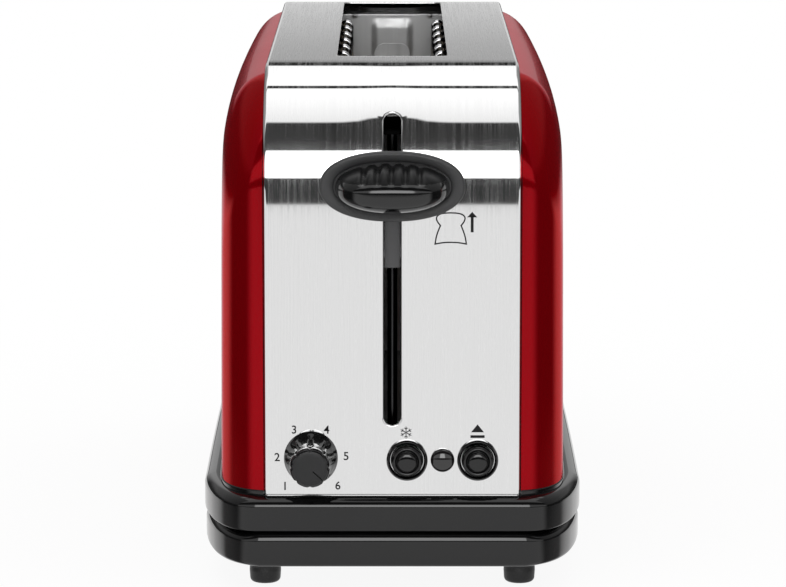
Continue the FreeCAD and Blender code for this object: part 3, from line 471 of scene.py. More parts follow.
class Profile:
    """The side view of the band: up the front, over a bend, along the top, over a bend and down the rear."""

    def __init__(self):
        front = [(0.0, PANEL_LOW)]
        for k in range(BEND_STEPS + 1):
            u = math.pi / 2 * k / BEND_STEPS
            front.append((BEND_DEPTH * (1 - math.cos(u)), TOP - BEND_RISE + BEND_RISE * math.sin(u)))
        self.points = front + [(LENGTH - depth, z) for depth, z in reversed(front)]
        self.at = [0.0]
        for (d0, z0), (d1, z1) in zip(self.points, self.points[1:]):
            self.at.append(self.at[-1] + math.hypot(d1 - d0, z1 - z0))
        self.total = self.at[-1]
        self.normals = []
        for i, (depth, z) in enumerate(self.points):
            nd = (depth - (BEND_DEPTH if i < len(front) else LENGTH - BEND_DEPTH)) / BEND_DEPTH**2
            nz = (z - TOP + BEND_RISE) / BEND_RISE**2
            size = math.hypot(nd, nz)
            self.normals.append((nd / size, nz / size))
        self.normals[0], self.normals[-1] = (-1.0, 0.0), (1.0, 0.0)

    def __call__(self, s):
        """(depth, z, normal) at the distance s along the band."""
        s = min(max(s, 0.0), self.total)
        low = min(bisect_right(self.at, s), len(self.at) - 1) - 1
        t = (s - self.at[low]) / (self.at[low + 1] - self.at[low])
        mix = lambda a, b: a + (b - a) * t
        (d0, z0), (d1, z1) = self.points[low:low + 2]
        (a0, b0), (a1, b1) = self.normals[low:low + 2]
        nd, nz = mix(a0, a1), mix(b0, b1)
        size = math.hypot(nd, nz)
        return mix(d0, d1), mix(z0, z1), (nd / size, nz / size)

    def where(self, test):
        """The first distance along the band at which test(depth, z) holds."""
        s = 0.0
        while s < self.total and not test(*self(s)[:2]):
            s += 0.05
        return s


def capsule_loop(low, high, radius, steps=20):
    loop = []
    for k in range(steps + 1):
        angle = math.pi * k / steps
        loop.append((radius * math.cos(angle), high + radius * math.sin(angle)))
    for k in range(steps + 1):
        angle = math.pi + math.pi * k / steps
        loop.append((radius * math.cos(angle), low + radius * math.sin(angle)))
    return densify(loop, 4.0)


def densify(loop, gap):
    """Adds points along a closed loop until none of its edges is longer than about gap."""
    made = []
    for (x0, s0), (x1, s1) in zip(loop, loop[1:] + loop[:1]):
        parts = max(1, int(math.hypot(x1 - x0, s1 - s0) / gap))
        made += [(x0 + (x1 - x0) * k / parts, s0 + (s1 - s0) * k / parts) for k in range(parts)]
    return made


def rounded_loop(low, high, half, radius, grow, steps=8):
    loop = []
    r = radius + grow
    for cx, cs, start in ((half - radius, high - radius, 0.0), (radius - half, high - radius, 0.5),
                          (radius - half, low + radius, 1.0), (half - radius, low + radius, 1.5)):
        for k in range(steps + 1):
            angle = math.pi * (start + 0.5 * k / steps)
            loop.append((cx + r * math.cos(angle), cs + r * math.sin(angle)))
    return densify(loop, 5.0)


band = Profile()
EDGE_ROLL = 1.6                     # radius of the band's long edges
EDGE_FLANGE = 6.0                   # how far they turn inwards
LIP, SLOT_LIP = 0.9, 0.16           # radius of the rims of the lever slot and the bread slot
LEVER_SLOT_HALF, LEVER_SLOT_LOW, LEVER_SLOT_HIGH = 3.4, 70.8, 194.6
SLOT_HALF, SLOT_FRONT, SLOT_REAR, SLOT_CORNER = 22.8, 73.5, 331.0, 3.0
SWELL, SWELL_REACH = 0.55, 8.0      # the band stands out a little round the upper end of the lever slot
SWELL_START, SWELL_RISE = 8.0, 11.5         # it starts below the slot's upper end and rises over a length
SWELL_HOLD, SWELL_END = 20.0, 54.0          # it sinks again between these distances from its start
BUTTON_HOLE = 6.6                   # radius of the hole that each button's cap is pressed into

lever_low = LEVER_SLOT_LOW - PANEL_LOW + LEVER_SLOT_HALF
lever_high = band.where(lambda depth, z: z >= LEVER_SLOT_HIGH) - LEVER_SLOT_HALF
swell_from = lever_high + LEVER_SLOT_HALF - SWELL_START
bread_low = band.where(lambda depth, z: depth >= SLOT_FRONT)
bread_high = bread_low + SLOT_REAR - SLOT_FRONT
button_centres = [(sum(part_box(f"{label}_bezel"), Vector()) / 2 / MM) for label in ("defrost", "cancel")]


def lever_gap(u, s):
    """Distance from a point of the band to the lever slot; negative inside."""
    return math.hypot(u, s - min(max(s, lever_low), lever_high)) - LEVER_SLOT_HALF


def bread_gap(u, s):
    """Distance from a point of the band to the bread slot; negative inside."""
    across = abs(u) - SLOT_HALF + SLOT_CORNER
    along = abs(s - (bread_low + bread_high) / 2) - (bread_high - bread_low) / 2 + SLOT_CORNER
    outside = math.hypot(max(across, 0.0), max(along, 0.0))
    return outside + min(max(across, along), 0.0) - SLOT_CORNER


def button_gap(u, s):
    """Distance from a point of the band to the nearest button's hole; negative inside."""
    return min(math.hypot(u - at.x, s - at.z + PANEL_LOW) for at in button_centres) - BUTTON_HOLE


def band_point(u, s):
    """A point of the band's face, u across from its middle line and s along it from its front edge."""
    roll_from = BAND_HALF - EDGE_ROLL
    across, inward = abs(u), 0.0
    if across > roll_from:
        turn = min((across - roll_from) / EDGE_ROLL, math.pi / 2)
        straight = max(across - roll_from - EDGE_ROLL * math.pi / 2, 0.0)
        inward = EDGE_ROLL * (1 - math.cos(turn)) + straight
        across = roll_from + EDGE_ROLL * math.sin(turn)
    for gap, lip in ((max(lever_gap(u, s), 0.0), LIP), (max(bread_gap(u, s), 0.0), SLOT_LIP)):
        if gap < lip:
            inward += lip - math.sqrt(lip**2 - (lip - gap) ** 2)
    swollen = smoothstep(swell_from, swell_from + SWELL_RISE, s)
    swollen -= smoothstep(swell_from + SWELL_HOLD, swell_from + SWELL_END, s)
    inward -= SWELL * swollen * math.exp(-(u / SWELL_REACH) ** 2 / 2)
    depth, z, (nd, nz) = band(s)
    return point(math.copysign(across, u), depth - nd * inward, z - nz * inward)


def spread(low, high, count):
    """Evenly spaced values from low, the last one a step before high."""
    return [low + (high - low) * k / count for k in range(count)]


def make_band():
    half = BAND_HALF - EDGE_ROLL + EDGE_ROLL * math.pi / 2 + EDGE_FLANGE - EDGE_ROLL
    flat = BAND_HALF - EDGE_ROLL
    columns = [flat * k / 13 for k in range(-13, 14)]
    rolled = [flat + EDGE_ROLL * math.pi / 2 * k / 8 for k in range(1, 9)] + [half]
    columns = [-c for c in reversed(rolled)] + columns + rolled
    stops = [0.0, band.at[1], band.at[BEND_STEPS + 1], band.at[BEND_STEPS + 2], band.at[-2], band.total]
    rows = []
    for low, high, count in zip(stops, stops[1:], (20, 56, 40, 56, 16)):
        rows += spread(low, high, count)
    rows.append(band.total)
    loops = [capsule_loop(lever_low, lever_high, LEVER_SLOT_HALF + grow)
             for grow in (0.0, 0.06, 0.2, 0.45, LIP, 1.5, 2.4, 3.6, 5.2, 7.5, 10.5)]
    loops += [rounded_loop(bread_low, bread_high, SLOT_HALF, SLOT_CORNER, grow)
              for grow in (0.0, 0.04, SLOT_LIP, 1.6)]
    for at in button_centres:
        loops.append([(at.x + BUTTON_HOLE * math.cos(a), at.z - PANEL_LOW + BUTTON_HOLE * math.sin(a))
                      for a in (math.tau * k / 48 for k in range(48))])

    coords, seen = [], {}

    def index(u, s):
        key = (round(u, 4), round(s, 4))
        if key not in seen:
            seen[key] = len(coords)
            coords.append(Vector(key))
        return seen[key]

    for s in rows:
        for u in columns:
            if lever_gap(u, s) > 11.5 and bread_gap(u, s) > 2.4 and button_gap(u, s) > 1.0:
                index(u, s)
    corners = [(columns[0], s) for s in rows] + [(u, rows[-1]) for u in columns[1:]]
    corners += [(columns[-1], s) for s in reversed(rows[:-1])] + [(u, 0.0) for u in reversed(columns[1:-1])]
    edges = []
    for loop in [corners] + loops:
        ring = [index(u, s) for u, s in loop]
        edges += [(a, b) for a, b in zip(ring, ring[1:] + ring[:1]) if a != b]
    found = delaunay_2d_cdt(coords, edges, [], 0, 1e-5)
    params, faces = [tuple(v) for v in found[0]], []
    for face in found[2]:
        u, s = (sum(params[i][axis] for i in face) / len(face) for axis in (0, 1))
        if min(lever_gap(u, s), bread_gap(u, s), button_gap(u, s)) > 0.0:
            faces.append(tuple(face))
    verts = [band_point(u, s) for u, s in params]
    normals = surface_normals(band_point, params, 0.03)
    verts, faces, normals = shell(verts, faces, normals, 0.7)
    build("steel_band", verts, faces, "steel", normals=normals,
          nodes=("front_panel", "top_panel", "rear_panel"))


make_band()


# Painted side covers

COVER_INNER, COVER_REACH, COVER_FALL, COVER_POWER = BAND_HALF + 0.1, 16.22, 43.92, 2.754
COVER_TOP, COVER_BOW, COVER_LEAN, COVER_DEPTH = 207.1, 3.485, 0.856, 0.883
COVER_RISE, COVER_BEND = 40.3, -0.144
COVER_START = math.radians(14.3)    # the angle at which the cover's curve leaves the band
COVER_LOW = PANEL_LOW + 0.2
COVER_LEAN_HEIGHT = 150.0           # the cover leans out by COVER_LEAN over this height


def cover_x(base, depth, z, lean):
    """x of the right cover, bowed along its length and leaning out downwards by the share lean."""
    q = depth / LENGTH
    return base + lean * (4 * COVER_BOW * q * (1 - q) + COVER_LEAN * (TOP - z) / COVER_LEAN_HEIGHT)


def cover_flat_normal(depth):
    """Outward normal of the right cover's flat side."""
    slope = 4 * COVER_BOW * (1 - 2 * depth / LENGTH) / LENGTH
    return Vector((1.0, -slope, COVER_LEAN / COVER_LEAN_HEIGHT)).normalized()


def cover_point(t, p):
    """t runs from the edge beside the band (0) to the flat side (1), p along the cover (0 to 5)."""
    angle = COVER_START + (math.pi / 2 - COVER_START) * min(max(t, 0.0), 1.0)
    power = 2 / COVER_POWER
    first = math.sin(COVER_START) ** power
    sine = (math.sin(angle) ** power - first) / (1 - first)
    base = COVER_INNER + COVER_REACH * sine
    fall = COVER_FALL * (math.cos(COVER_START) ** power - max(math.cos(angle), 0.0) ** power)
    front, high = COVER_DEPTH * fall, COVER_TOP - fall
    deep, rise = BEND_DEPTH - 0.3 * fall, COVER_RISE - COVER_BEND * fall
    back = p > 2.5
    q = 5.0 - p if back else p
    q = min(max(q, 0.0), 2.5)
    if q <= 1.0:
        depth, z = front, COVER_LOW + (high - rise - COVER_LOW) * q
    elif q <= 2.0:
        u = math.pi / 2 * (q - 1.0)
        depth, z = front + deep * (1 - math.cos(u)), high - rise + rise * math.sin(u)
    else:
        depth, z = front + deep + (LENGTH - 2 * (front + deep)) * (q - 2.0), high
    if back:
        depth = LENGTH - depth
    return point(cover_x(base, depth, z, sine), depth, z)


def make_cover(side, sign):
    steps = [0.0, 0.004, 0.016] + [0.04 + 0.96 * k / 22 for k in range(23)]
    along = [k / 14 for k in range(14)] + [1.0 + k / 30 for k in range(30)]
    along += [2.0 + 0.5 * k / 14 for k in range(14)]
    along += [2.5] + [5.0 - p for p in reversed(along)]
    verts, normals, width = [], [], len(steps)
    for p in along:
        for t in steps:
            here = cover_point(t, p)
            # the normal turns from the band side to the flat side; at the edge it is taken just inside
            inside = min(max(t, 0.004), 0.985)
            dt = cover_point(inside + 0.003, p) - cover_point(inside - 0.003, p)
            pp = min(max(p, 0.01), 4.99)
            dp = cover_point(inside, pp + 0.01) - cover_point(inside, pp - 0.01)
            normal = dt.cross(dp).normalized()
            normal = normal.lerp(cover_flat_normal(here.y / MM - FRONT), smoothstep(0.80, 1.0, t))
            verts.append(here)
            normals.append(normal.normalized())
    faces = grid_faces(len(along), width)
    border = list(range(width - 1, len(verts), width))
    # the edge turns in beside the band
    edge, lips = range(0, len(verts), width), range(len(verts), len(verts) + len(along))
    for i in edge:
        inward = Vector((0.0, normals[i].y, normals[i].z)).normalized() * 3.0 * MM
        verts.append(Vector((COVER_INNER * MM, verts[i].y, verts[i].z)) - inward)
        normals.append(Vector((-1.0, 0.0, 0.0)))
    for i in range(len(along) - 1):
        faces.append((lips[i], edge[i], edge[i + 1], lips[i + 1]))
    # the flat side, filled inside the last column
    flat = [Vector((verts[i].y / MM, verts[i].z / MM)) for i in border]
    low_y, high_y = flat[0].x, flat[-1].x
    parts = 34
    for k in range(1, parts):
        border.append(len(verts))
        flat.append(Vector((high_y + (low_y - high_y) * k / parts, COVER_LOW)))
        verts.append(None)
        normals.append(None)
    inner = []
    for i in range(1, parts):
        for j in range(1, 12):
            y = low_y + (high_y - low_y) * i / parts
            z = COVER_LOW + (COVER_TOP - 0.98 * COVER_FALL - COVER_LOW) * j / 12
            if inside_loop((y, z), flat, 3.0):
                inner.append(Vector((y, z)))
    count = len(flat)
    ring = [(k, (k + 1) % count) for k in range(count)]
    found = delaunay_2d_cdt(flat + inner, ring, [list(range(count))], 1, 1e-6)
    where = []
    for v, sources in zip(found[0], found[3]):
        if sources and sources[0] < count:
            where.append(border[sources[0]])
        else:
            where.append(len(verts))
            verts.append(None)
            normals.append(None)
        if verts[where[-1]] is None:
            depth = v.x - FRONT
            verts[where[-1]] = point(cover_x(COVER_INNER + COVER_REACH, depth, v.y, 1.0), depth, v.y)
            normals[where[-1]] = cover_flat_normal(depth)
    for face in found[2]:
        ids = tuple(where[i] for i in face)
        a, b, c = (verts[i] for i in ids[:3])
        faces.append(ids if (b - a).cross(c - a).x > 0 else tuple(reversed(ids)))
    if sign < 0:
        verts, normals = ([Vector((-v.x, v.y, v.z)) for v in group] for group in (verts, normals))
        faces = [tuple(reversed(face)) for face in faces]
    outer = len(faces)
    verts, faces, normals = shell(verts, faces, normals, 0.9)
    cover = build(f"cover_{side}_enamel", verts, faces, "red shield", normals=normals,
                  nodes=(f"cover_{side}",))
    # painted shade: the cover's inner faces take the near-black of the slot liner, standing in for the shade
    # inside the toaster
    paint_second(cover.data.polygons[outer:2 * outer])


def inside_loop(where, loop, margin):
    """Whether a 2D point is inside a closed loop and at least margin away from it."""
    x, y = where
    crossings = False
    for a, b in zip(loop, loop[1:] + loop[:1]):
        if (a.y > y) != (b.y > y) and x < (b.x - a.x) * (y - a.y) / (b.y - a.y) + a.x:
            crossings = not crossings
        edge = b - a
        if edge.length > 0:
            t = min(max((Vector(where) - a).dot(edge) / edge.length_squared, 0.0), 1.0)
            if (Vector(where) - a - edge * t).length < margin:
                return False
    return crossings


make_cover("right", 1)
make_cover("left", -1)


# Base

BASE_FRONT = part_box("base_collar")[0].y / MM - FRONT
BASE_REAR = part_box("base_collar")[1].y / MM - FRONT
BASE_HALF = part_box("base_collar")[1].x / MM


def whole_loop(quarter, ends):
    """A closed (x, depth) loop with its outward normals, counter-clockwise from above.

    quarter runs from the middle of the front to the middle of the right side. ends is the sum of the
    depths of the front and the rear.
    """
    right = quarter + [(x, ends - depth) for x, depth in reversed(quarter[:-1])]
    loop = right + [(-x, depth) for x, depth in reversed(right[1:-1])]
    normals = []
    for i in range(len(loop)):
        a, b = loop[i - 1], loop[(i + 1) % len(loop)]
        normals.append(Vector((b[1] - a[1], a[0] - b[0])).normalized())
    return loop, normals


def base_outline():
    """The outline of the base's two tiers."""
    middle = (BASE_FRONT + BASE_REAR) / 2
    # the outline turns from the front (0 degrees) to the side (90) over these (length, angle) runs
    runs = [(53.5, 0.0), (13.0, 52.0), (8.0, 66.0), (14.0, 77.0), (28.0, 86.6)]
    quarter = [(0.0, BASE_FRONT)]
    x, depth, turn = 0.0, BASE_FRONT, 0.0
    for length, end in runs:
        steps = max(4, int(length / 0.7)) if end else 6
        for k in range(steps):
            angle = math.radians(turn + (end - turn) * (k + 0.5) / steps)
            x += length / steps * math.cos(angle)
            depth += length / steps * math.sin(angle)
            quarter.append((x, depth))
        turn = end
    side, start = x, depth
    for k in range(1, 15):
        q = k / 14
        quarter.append((side + (BASE_HALF - side) * (1 - (1 - q) ** 2), start + (middle - start) * q))
    return whole_loop(quarter, BASE_FRONT + BASE_REAR)


def loft(outline, normals, profile, closed_profile=False, corner=0.0):
    """Rings of the outline moved inwards by each profile inset at each height. The ends are capped.

    corner makes the insets deeper where the outline turns.
    """
    verts, faces = [], []
    count = len(outline)
    for inset, z in profile:
        for (x, depth), n in zip(outline, normals):
            deep = inset * (1 + corner * abs(2 * n.x * n.y))
            verts.append(point(x - n.x * deep, depth - n.y * deep, z))
    rings = len(profile)
    pairs = range(rings) if closed_profile else range(rings - 1)
    for i in pairs:
        faces += ring_faces(i, (i + 1) % rings, count)
    if not closed_profile:
        faces.append(tuple(reversed(range(count))))
        faces.append(tuple((rings - 1) * count + k for k in range(count)))
    return verts, outward(verts, faces)


def arc(centre, radii, start, end, steps):
    """(inset, z) points on an elliptical arc; angles in degrees from the outward direction, up."""
    made = []
    for k in range(steps + 1):
        a = math.radians(start + (end - start) * k / steps)
        made.append((centre[0] - radii[0] * math.cos(a), centre[1] + radii[1] * math.sin(a)))
    return made


def make_base():
    outline, normals = base_outline()
    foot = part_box("base_tray")[0].z / MM
    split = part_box("base_tray")[1].z / MM
    upper = [(10.0, split + 0.4), (2.0, split + 0.4)] + arc((1.1, split + 1.5), (1.1, 1.1), -90, 0, 6)
    upper += [(0.0, 33.0)] + arc((6.0, 38.0), (6.0, 4.4), 0, 78, 22) + [(9.0, PANEL_LOW + 0.1)]
    lower = [(10.0, foot), (4.0, foot)] + arc((2.6, foot + 2.2), (1.9, 2.2), -90, 0, 8)
    lower += [(0.6, 18.0), (0.6, 21.0)] + arc((4.0, 23.8), (3.4, split - 23.9), 0, 88, 16) + [(8.0, split)]
    verts, faces = loft(outline, normals, upper)
    build("base_upper_tier", verts, faces, "base", nodes=("base_collar",), sharp=50.0)
    verts, faces = loft(outline, normals, lower, corner=1.1)
    tray = build("base_lower_tier", verts, faces, "base", nodes=("base_tray",))
    # the mouth that the crumb tray slides out of
    low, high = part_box("crumb_tray")
    gap = 0.8 * MM
    left, right, fore, aft = low.x - gap, high.x + gap, low.y - 4 * MM, high.y + 30 * MM
    carve(tray, [Vector((x, y, z)) for z in (low.z - gap, high.z + 2.4 * MM)
                 for x, y in ((left, fore), (right, fore), (right, aft), (left, aft))], 50.0)


def make_upstand():
    """The thin raised rim of the base that the covers stand behind."""
    quarter = [(0.0, 1.6), (30.0, 1.6), (COVER_INNER - 1.2, 1.6), (COVER_INNER - 0.3, 0.6),
               (COVER_INNER + 0.2, -0.5)]
    for k in range(1, 23):
        p = cover_point(k / 22, 0.0)
        quarter.append((p.x / MM + 0.5 * k / 22, p.y / MM - FRONT - 0.6 * (1 - k / 22)))
    last = quarter[-1]
    for k in range(1, 12):
        depth = last[1] + (LENGTH / 2 - last[1]) * k / 11
        quarter.append((cover_x(COVER_INNER + COVER_REACH, depth, COVER_LOW, 1.0) + 0.5, depth))
    loop, normals = whole_loop(quarter, LENGTH)
    high = PANEL_LOW + 2.0
    profile = [(0.0, PANEL_LOW - 0.6)] + arc((0.6, high - 0.6), (0.6, 0.6), 0, 90, 4)
    profile += [(1.0, high), (1.0, PANEL_LOW - 0.6)]
    verts, faces = loft(loop, normals, profile, closed_profile=True)
    build("base_upstand", verts, faces, "base", sharp=50.0)


make_base()
make_upstand()


def make_feet():
    """Round feet, slightly tapered, with a soft lower edge."""
    for end in ("front", "rear"):
        for side in ("left", "right"):
            name = f"foot_{end}_{side}"
            low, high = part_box(name)
            x, y = (low.x + high.x) / 2 / MM, (low.y + high.y) / 2 / MM
            top, r = high.z / MM, (high.x - low.x) / 2 / MM
            profile = [(0.0, top), (r, top), (r, 8.0), (r - 0.25, 6.6), (r - 0.15, 5.0), (r - 0.5, 0.0),
                       (0.0, 0.0)]
            rounded = fillet(profile, [0.0, 0.0, 0.6, 0.6, 1.0, 1.9, 0.0], 6)
            verts, faces = lathe(rounded, 0.0, 0.0, 64)
            # the lathe turns about Y; stand it up on Z
            placed = [Vector((x * MM + v.x, y * MM + v.z, (v.y / MM - FRONT) * MM)) for v in verts]
            build(f"{name}_moulding", placed, outward(placed, faces), "rubber",
                  nodes=(name,), sharp=60.0)


make_feet()


# Lever

lever_low_corner, lever_high_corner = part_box("lever_flange")
LEVER_Z = (lever_low_corner.z + lever_high_corner.z) / 2 / MM
FLANGE_X = lever_high_corner.x / MM
FLANGE_Z = (lever_high_corner.z - lever_low_corner.z) / 2 / MM
FLANGE_FACE = lever_low_corner.y / MM - FRONT
FLANGE_BACK = lever_high_corner.y / MM - FRONT
grip_low, grip_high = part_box("lever_grip")
GRIP_X = grip_high.x / MM
GRIP_Z = (grip_high.z - grip_low.z) / 2 / MM
GRIP_NOSE = grip_low.y / MM - FRONT
GRIP_TOP = 3.3                      # above this height over its middle the grip is satin


def make_flange():
    """Oval plate, dished a little towards a recess that the grip stands in."""
    well_x, well_z = GRIP_X + 0.7, GRIP_Z + 0.7
    recess = FLANGE_FACE + 1.3
    rings = [(1.0, FLANGE_BACK, 0), (1.0, FLANGE_FACE + 1.2, 0)]
    for k in range(1, 7):
        a = math.pi / 2 * k / 6
        rings.append((1.0 - 0.042 * (1 - math.cos(a)), FLANGE_FACE + 1.2 * (1 - math.sin(a)), 0))
    dish = [(0.2, 0.05), (0.45, 0.16), (0.7, 0.32), (0.88, 0.5), (0.96, 0.62), (1.0, 0.85)]
    for mix, down in dish:
        rings.append((mix, FLANGE_FACE + down, 1))
    rings.append((1.0, recess, 1))
    rings.append((0.9, recess + 0.1, 2))
    verts, faces, count = [], [], 144
    for value, depth, kind in rings:
        for k in range(count):
            a = 2 * math.pi * k / count
            if kind == 0:
                rx = 1.02 * FLANGE_X - (1 - value) * FLANGE_X
                rz = FLANGE_Z - (1 - value) * FLANGE_X
            elif kind == 1:
                rx = FLANGE_X * 0.958 + (well_x - FLANGE_X * 0.958) * value
                rz = FLANGE_Z - 0.042 * FLANGE_X + (well_z - FLANGE_Z + 0.042 * FLANGE_X) * value
            else:
                rx, rz = well_x * value, well_z * value
            c, s = math.cos(a), math.sin(a)
            full = (abs(c) ** 2.2 + abs(s) ** 2.2) ** (-1 / 2.2)
            verts.append(point(rx * full * c, depth, LEVER_Z + rz * full * s))
    for i in range(len(rings) - 1):
        faces += ring_faces(i, i + 1, count)
    faces.append(tuple(range(count)))
    faces.append(tuple((len(rings) - 1) * count + k for k in range(count)))
    build("lever_plate", verts, outward(verts, faces), "satin", "carriage",
          ("lever_flange",), sharp=45.0)


def make_grip():
    """Glossy grip: half an ellipsoid with five finger grooves over its top and small nicks below."""
    back = FLANGE_FACE + 1.0
    reach = back - GRIP_NOSE
    pitch, width = 5.5, 1.15
    verts, faces, rows = [], [], []
    lengthwise, around = 200, 72
    for i in range(1, lengthwise):
        a = -math.pi / 2 + math.pi * i / lengthwise
        x = GRIP_X * math.sin(a)
        slim = math.cos(a) ** 0.92
        nose = math.sqrt(max(1.0 - (x / GRIP_X) ** 4, 0.0))
        row = []
        for j in range(around + 1):
            b = -math.pi / 2 + math.pi * j / around
            groove = 0.0
            for k in range(-2, 3):
                near = math.exp(-((x - k * pitch + 0.5 * math.cos(b)) / width) ** 2)
                groove = max(groove, near)
            over = smoothstep(math.radians(16.0), math.radians(34.0), b)
            under = smoothstep(math.radians(-74.0), math.radians(-86.0), b)
            cut = groove * (1.15 * over + 0.45 * under)
            blunt = (1 - abs(math.sin(b)) ** 3.4) ** (1 / 3.4) if -1.5 < b < 0 else math.cos(b)
            forward = reach * nose * blunt
            up = GRIP_Z * slim * math.sin(b)
            size = math.hypot(forward / reach, up / GRIP_Z) or 1.0
            nd, nz = math.cos(b) / reach, math.sin(b) / GRIP_Z
            norm = math.hypot(nd, nz)
            row.append(len(verts))
            verts.append(point(x, back - forward + cut * nd / norm * min(size, 1.0),
                               LEVER_Z + up - cut * nz / norm * min(size, 1.0)))
        rows.append(row)
    for first, second in zip(rows, rows[1:]):
        for j in range(around):
            faces.append((first[j], second[j], second[j + 1], first[j + 1]))
    left, right = len(verts), len(verts) + 1
    verts += [point(-GRIP_X, back, LEVER_Z), point(GRIP_X, back, LEVER_Z)]
    for j in range(around):
        faces.append((left, rows[0][j], rows[0][j + 1]))
        faces.append((right, rows[-1][j + 1], rows[-1][j]))
    rim = [left] + [row[-1] for row in rows] + [right] + [row[0] for row in reversed(rows)]
    faces.append(tuple(rim))
    handle = build("lever_handle", verts, outward(verts, faces), "grip grip_top", "carriage",
                   ("lever_grip",), sharp=60.0)
    paint_second(f for f in handle.data.polygons if f.center.z / MM > LEVER_Z + GRIP_TOP)


make_flange()
make_grip()


# Knob and buttons

KNOB_X, KNOB_Z, KNOB_R, KNOB_FACE, _ = round_node("browning_knob")
POINTER = math.radians(-42.0)


def make_knob():
    """Bell-shaped knob with eight flutes, a flat satin face and a pointer groove."""
    body = [(KNOB_R - 0.2, -0.5), (KNOB_R - 0.5, -1.3), (10.0, -2.6), (9.5, -4.0), (8.8, -5.8), (8.2, -7.8),
            (7.8, -9.6), (7.7, -11.8), (7.85, -14.2), (8.05, -16.6), (8.12, -18.4), (8.05, -19.5),
            (7.75, -20.4), (7.2, -21.0), (6.4, KNOB_FACE + 0.14), (5.4, KNOB_FACE)]
    profile = [(0.0, -0.5)] + smooth_line(body, 84) + [(r, KNOB_FACE) for r in (4.5, 3.0, 1.5, 0.0)]

    flutes_end = 6.6                # the face inside this radius has none

    def flute(r, depth, angle):
        if r < flutes_end:
            return r
        turn = angle / (math.pi / 4)
        away = abs(turn - round(turn)) * math.pi / 4
        width = 0.075 + 0.05 * smoothstep(-20.0, -8.0, depth)
        cut = math.exp(-(away / width) ** 2)
        deep = 0.45 + 0.75 * smoothstep(-20.0, -15.0, depth) - 1.2 * smoothstep(-4.5, -1.5, depth)
        deep *= smoothstep(flutes_end, 7.4, r)
        return r - cut * max(deep, 0.0)

    verts, faces = lathe(profile, KNOB_X, KNOB_Z, 288, flute)
    knob = build("browning_dial", verts, outward(verts, faces), "control knob_face", "knob",
                 ("browning_knob",), sharp=35.0)
    paint_second(f for f in knob.data.polygons if f.center.y / MM - FRONT < KNOB_FACE + 0.3)
    # the pointer is a groove cut across the face
    along = Vector((math.cos(POINTER), 0.0, math.sin(POINTER)))
    across = Vector((-math.sin(POINTER), 0.0, math.cos(POINTER)))
    centre = point(KNOB_X, KNOB_FACE, KNOB_Z)
    corners = []
    for depth in (-1.0, 1.1):
        for r, half in ((1.6, -0.30), (9.2, -0.36), (9.2, 0.36), (1.6, 0.30)):
            corners.append(centre + (along * r + across * half + Vector((0.0, depth, 0.0))) * MM)
    carve(knob, corners, 35.0)


def make_buttons():
    for label in ("defrost", "cancel"):
        x, z, r, front, _ = round_node(f"{label}_bezel")
        bezel = [(6.75, -0.05), (r, -0.05), (r, -1.3), (r - 0.5, front), (r - 0.75, front),
                 (6.95, front + 0.5), (6.75, -0.8)]
        rounded = fillet(bezel, [0.0, 0.0, 0.5, 0.5, 0.3, 0.3, 0.2], 5, closed=True)
        verts, faces = lathe(rounded + [rounded[0]], x, z)
        build(f"{label}_ring", verts, faces_welded(verts, faces), "control",
              nodes=(f"{label}_bezel",), sharp=40.0)
        nose = round_node(f"{label}_button")[3]
        cap = [(6.3, -1.2), (6.3, -3.0), (6.1, -3.7), (5.75, -4.25), (5.3, -4.55), (4.85, -4.5), (4.45, -4.2),
               (4.15, -3.95), (3.98, -4.1), (3.92, -4.7), (3.8, -5.3), (3.45, -5.75), (2.8, nose + 0.22),
               (1.6, nose + 0.06), (0.0, nose)]
        profile = [(0.0, 9.0), (2.2, 9.0), (2.2, -1.2), cap[0]] + smooth_line(cap[1:], 60)
        profile[-1] = (0.0, nose)
        verts, faces = lathe(profile, x, z)
        build(f"{label}_cap", verts, outward(verts, faces), "control", f"{label}_button",
              (f"{label}_button",), sharp=50.0)


def make_lens():
    x, z, r, nose, back = round_node("indicator_lens")
    dome = [(r * math.sin(a), -0.5 + (nose + 0.5) * math.cos(a))
            for a in (math.pi / 2 * (1 - k / 20) for k in range(21))]
    dome[-1] = (0.0, nose)
    stem = min(r, 4.0)
    verts, faces = lathe([(0.0, back), (stem, back), (stem, 0.2), (r, 0.2)] + dome, x, z)
    build("pilot_lens", verts, outward(verts, faces), "lens", nodes=("indicator_lens",),
          sharp=60.0)


def faces_welded(verts, faces):
    """Joins the last ring of a ring-shaped lathe to its first, which lies on it."""
    last = len(verts) - SEGMENTS
    welded = [tuple(i - last if i >= last else i for i in face) for face in faces]
    del verts[last:]
    return outward(verts, welded)


make_knob()
make_buttons()
make_lens()


# Printed numbers and symbols, a thin film on the panel

FILM = 0.06                         # its thickness; its back lies FILM_BACK inside the panel
FILM_BACK = 0.02


def film(name, outline, x, z):
    """A flat shape given as a closed outline round (x, z), a film thick."""
    count = len(outline)
    verts = [point(x + px, depth, z + pz) for depth in (FILM_BACK, -FILM) for px, pz in outline]
    faces = [tuple(range(count)), tuple(count + k for k in reversed(range(count)))]
    for k in range(count):
        n = (k + 1) % count
        faces.append((k, count + k, count + n, n))
    build(name, verts, outward(verts, faces), "print", sharp=30.0)


def stroke(points, width, closed=False):
    """The two sides of a line of constant width at each of its points, mitred at its corners."""
    points = [Vector(p) for p in points]
    count = len(points)
    sides = []
    for i, p in enumerate(points):
        before = points[i - 1] if i > 0 or closed else None
        after = points[(i + 1) % count] if i < count - 1 or closed else None
        a = (p - before).normalized() if before else (after - p).normalized()
        b = (after - p).normalized() if after else a
        normal = Vector((-(a + b).y, (a + b).x)).normalized()
        reach = width / 2 / max(normal.dot(Vector((-a.y, a.x))), 0.4)
        sides.append((p + normal * reach, p - normal * reach))
    return sides


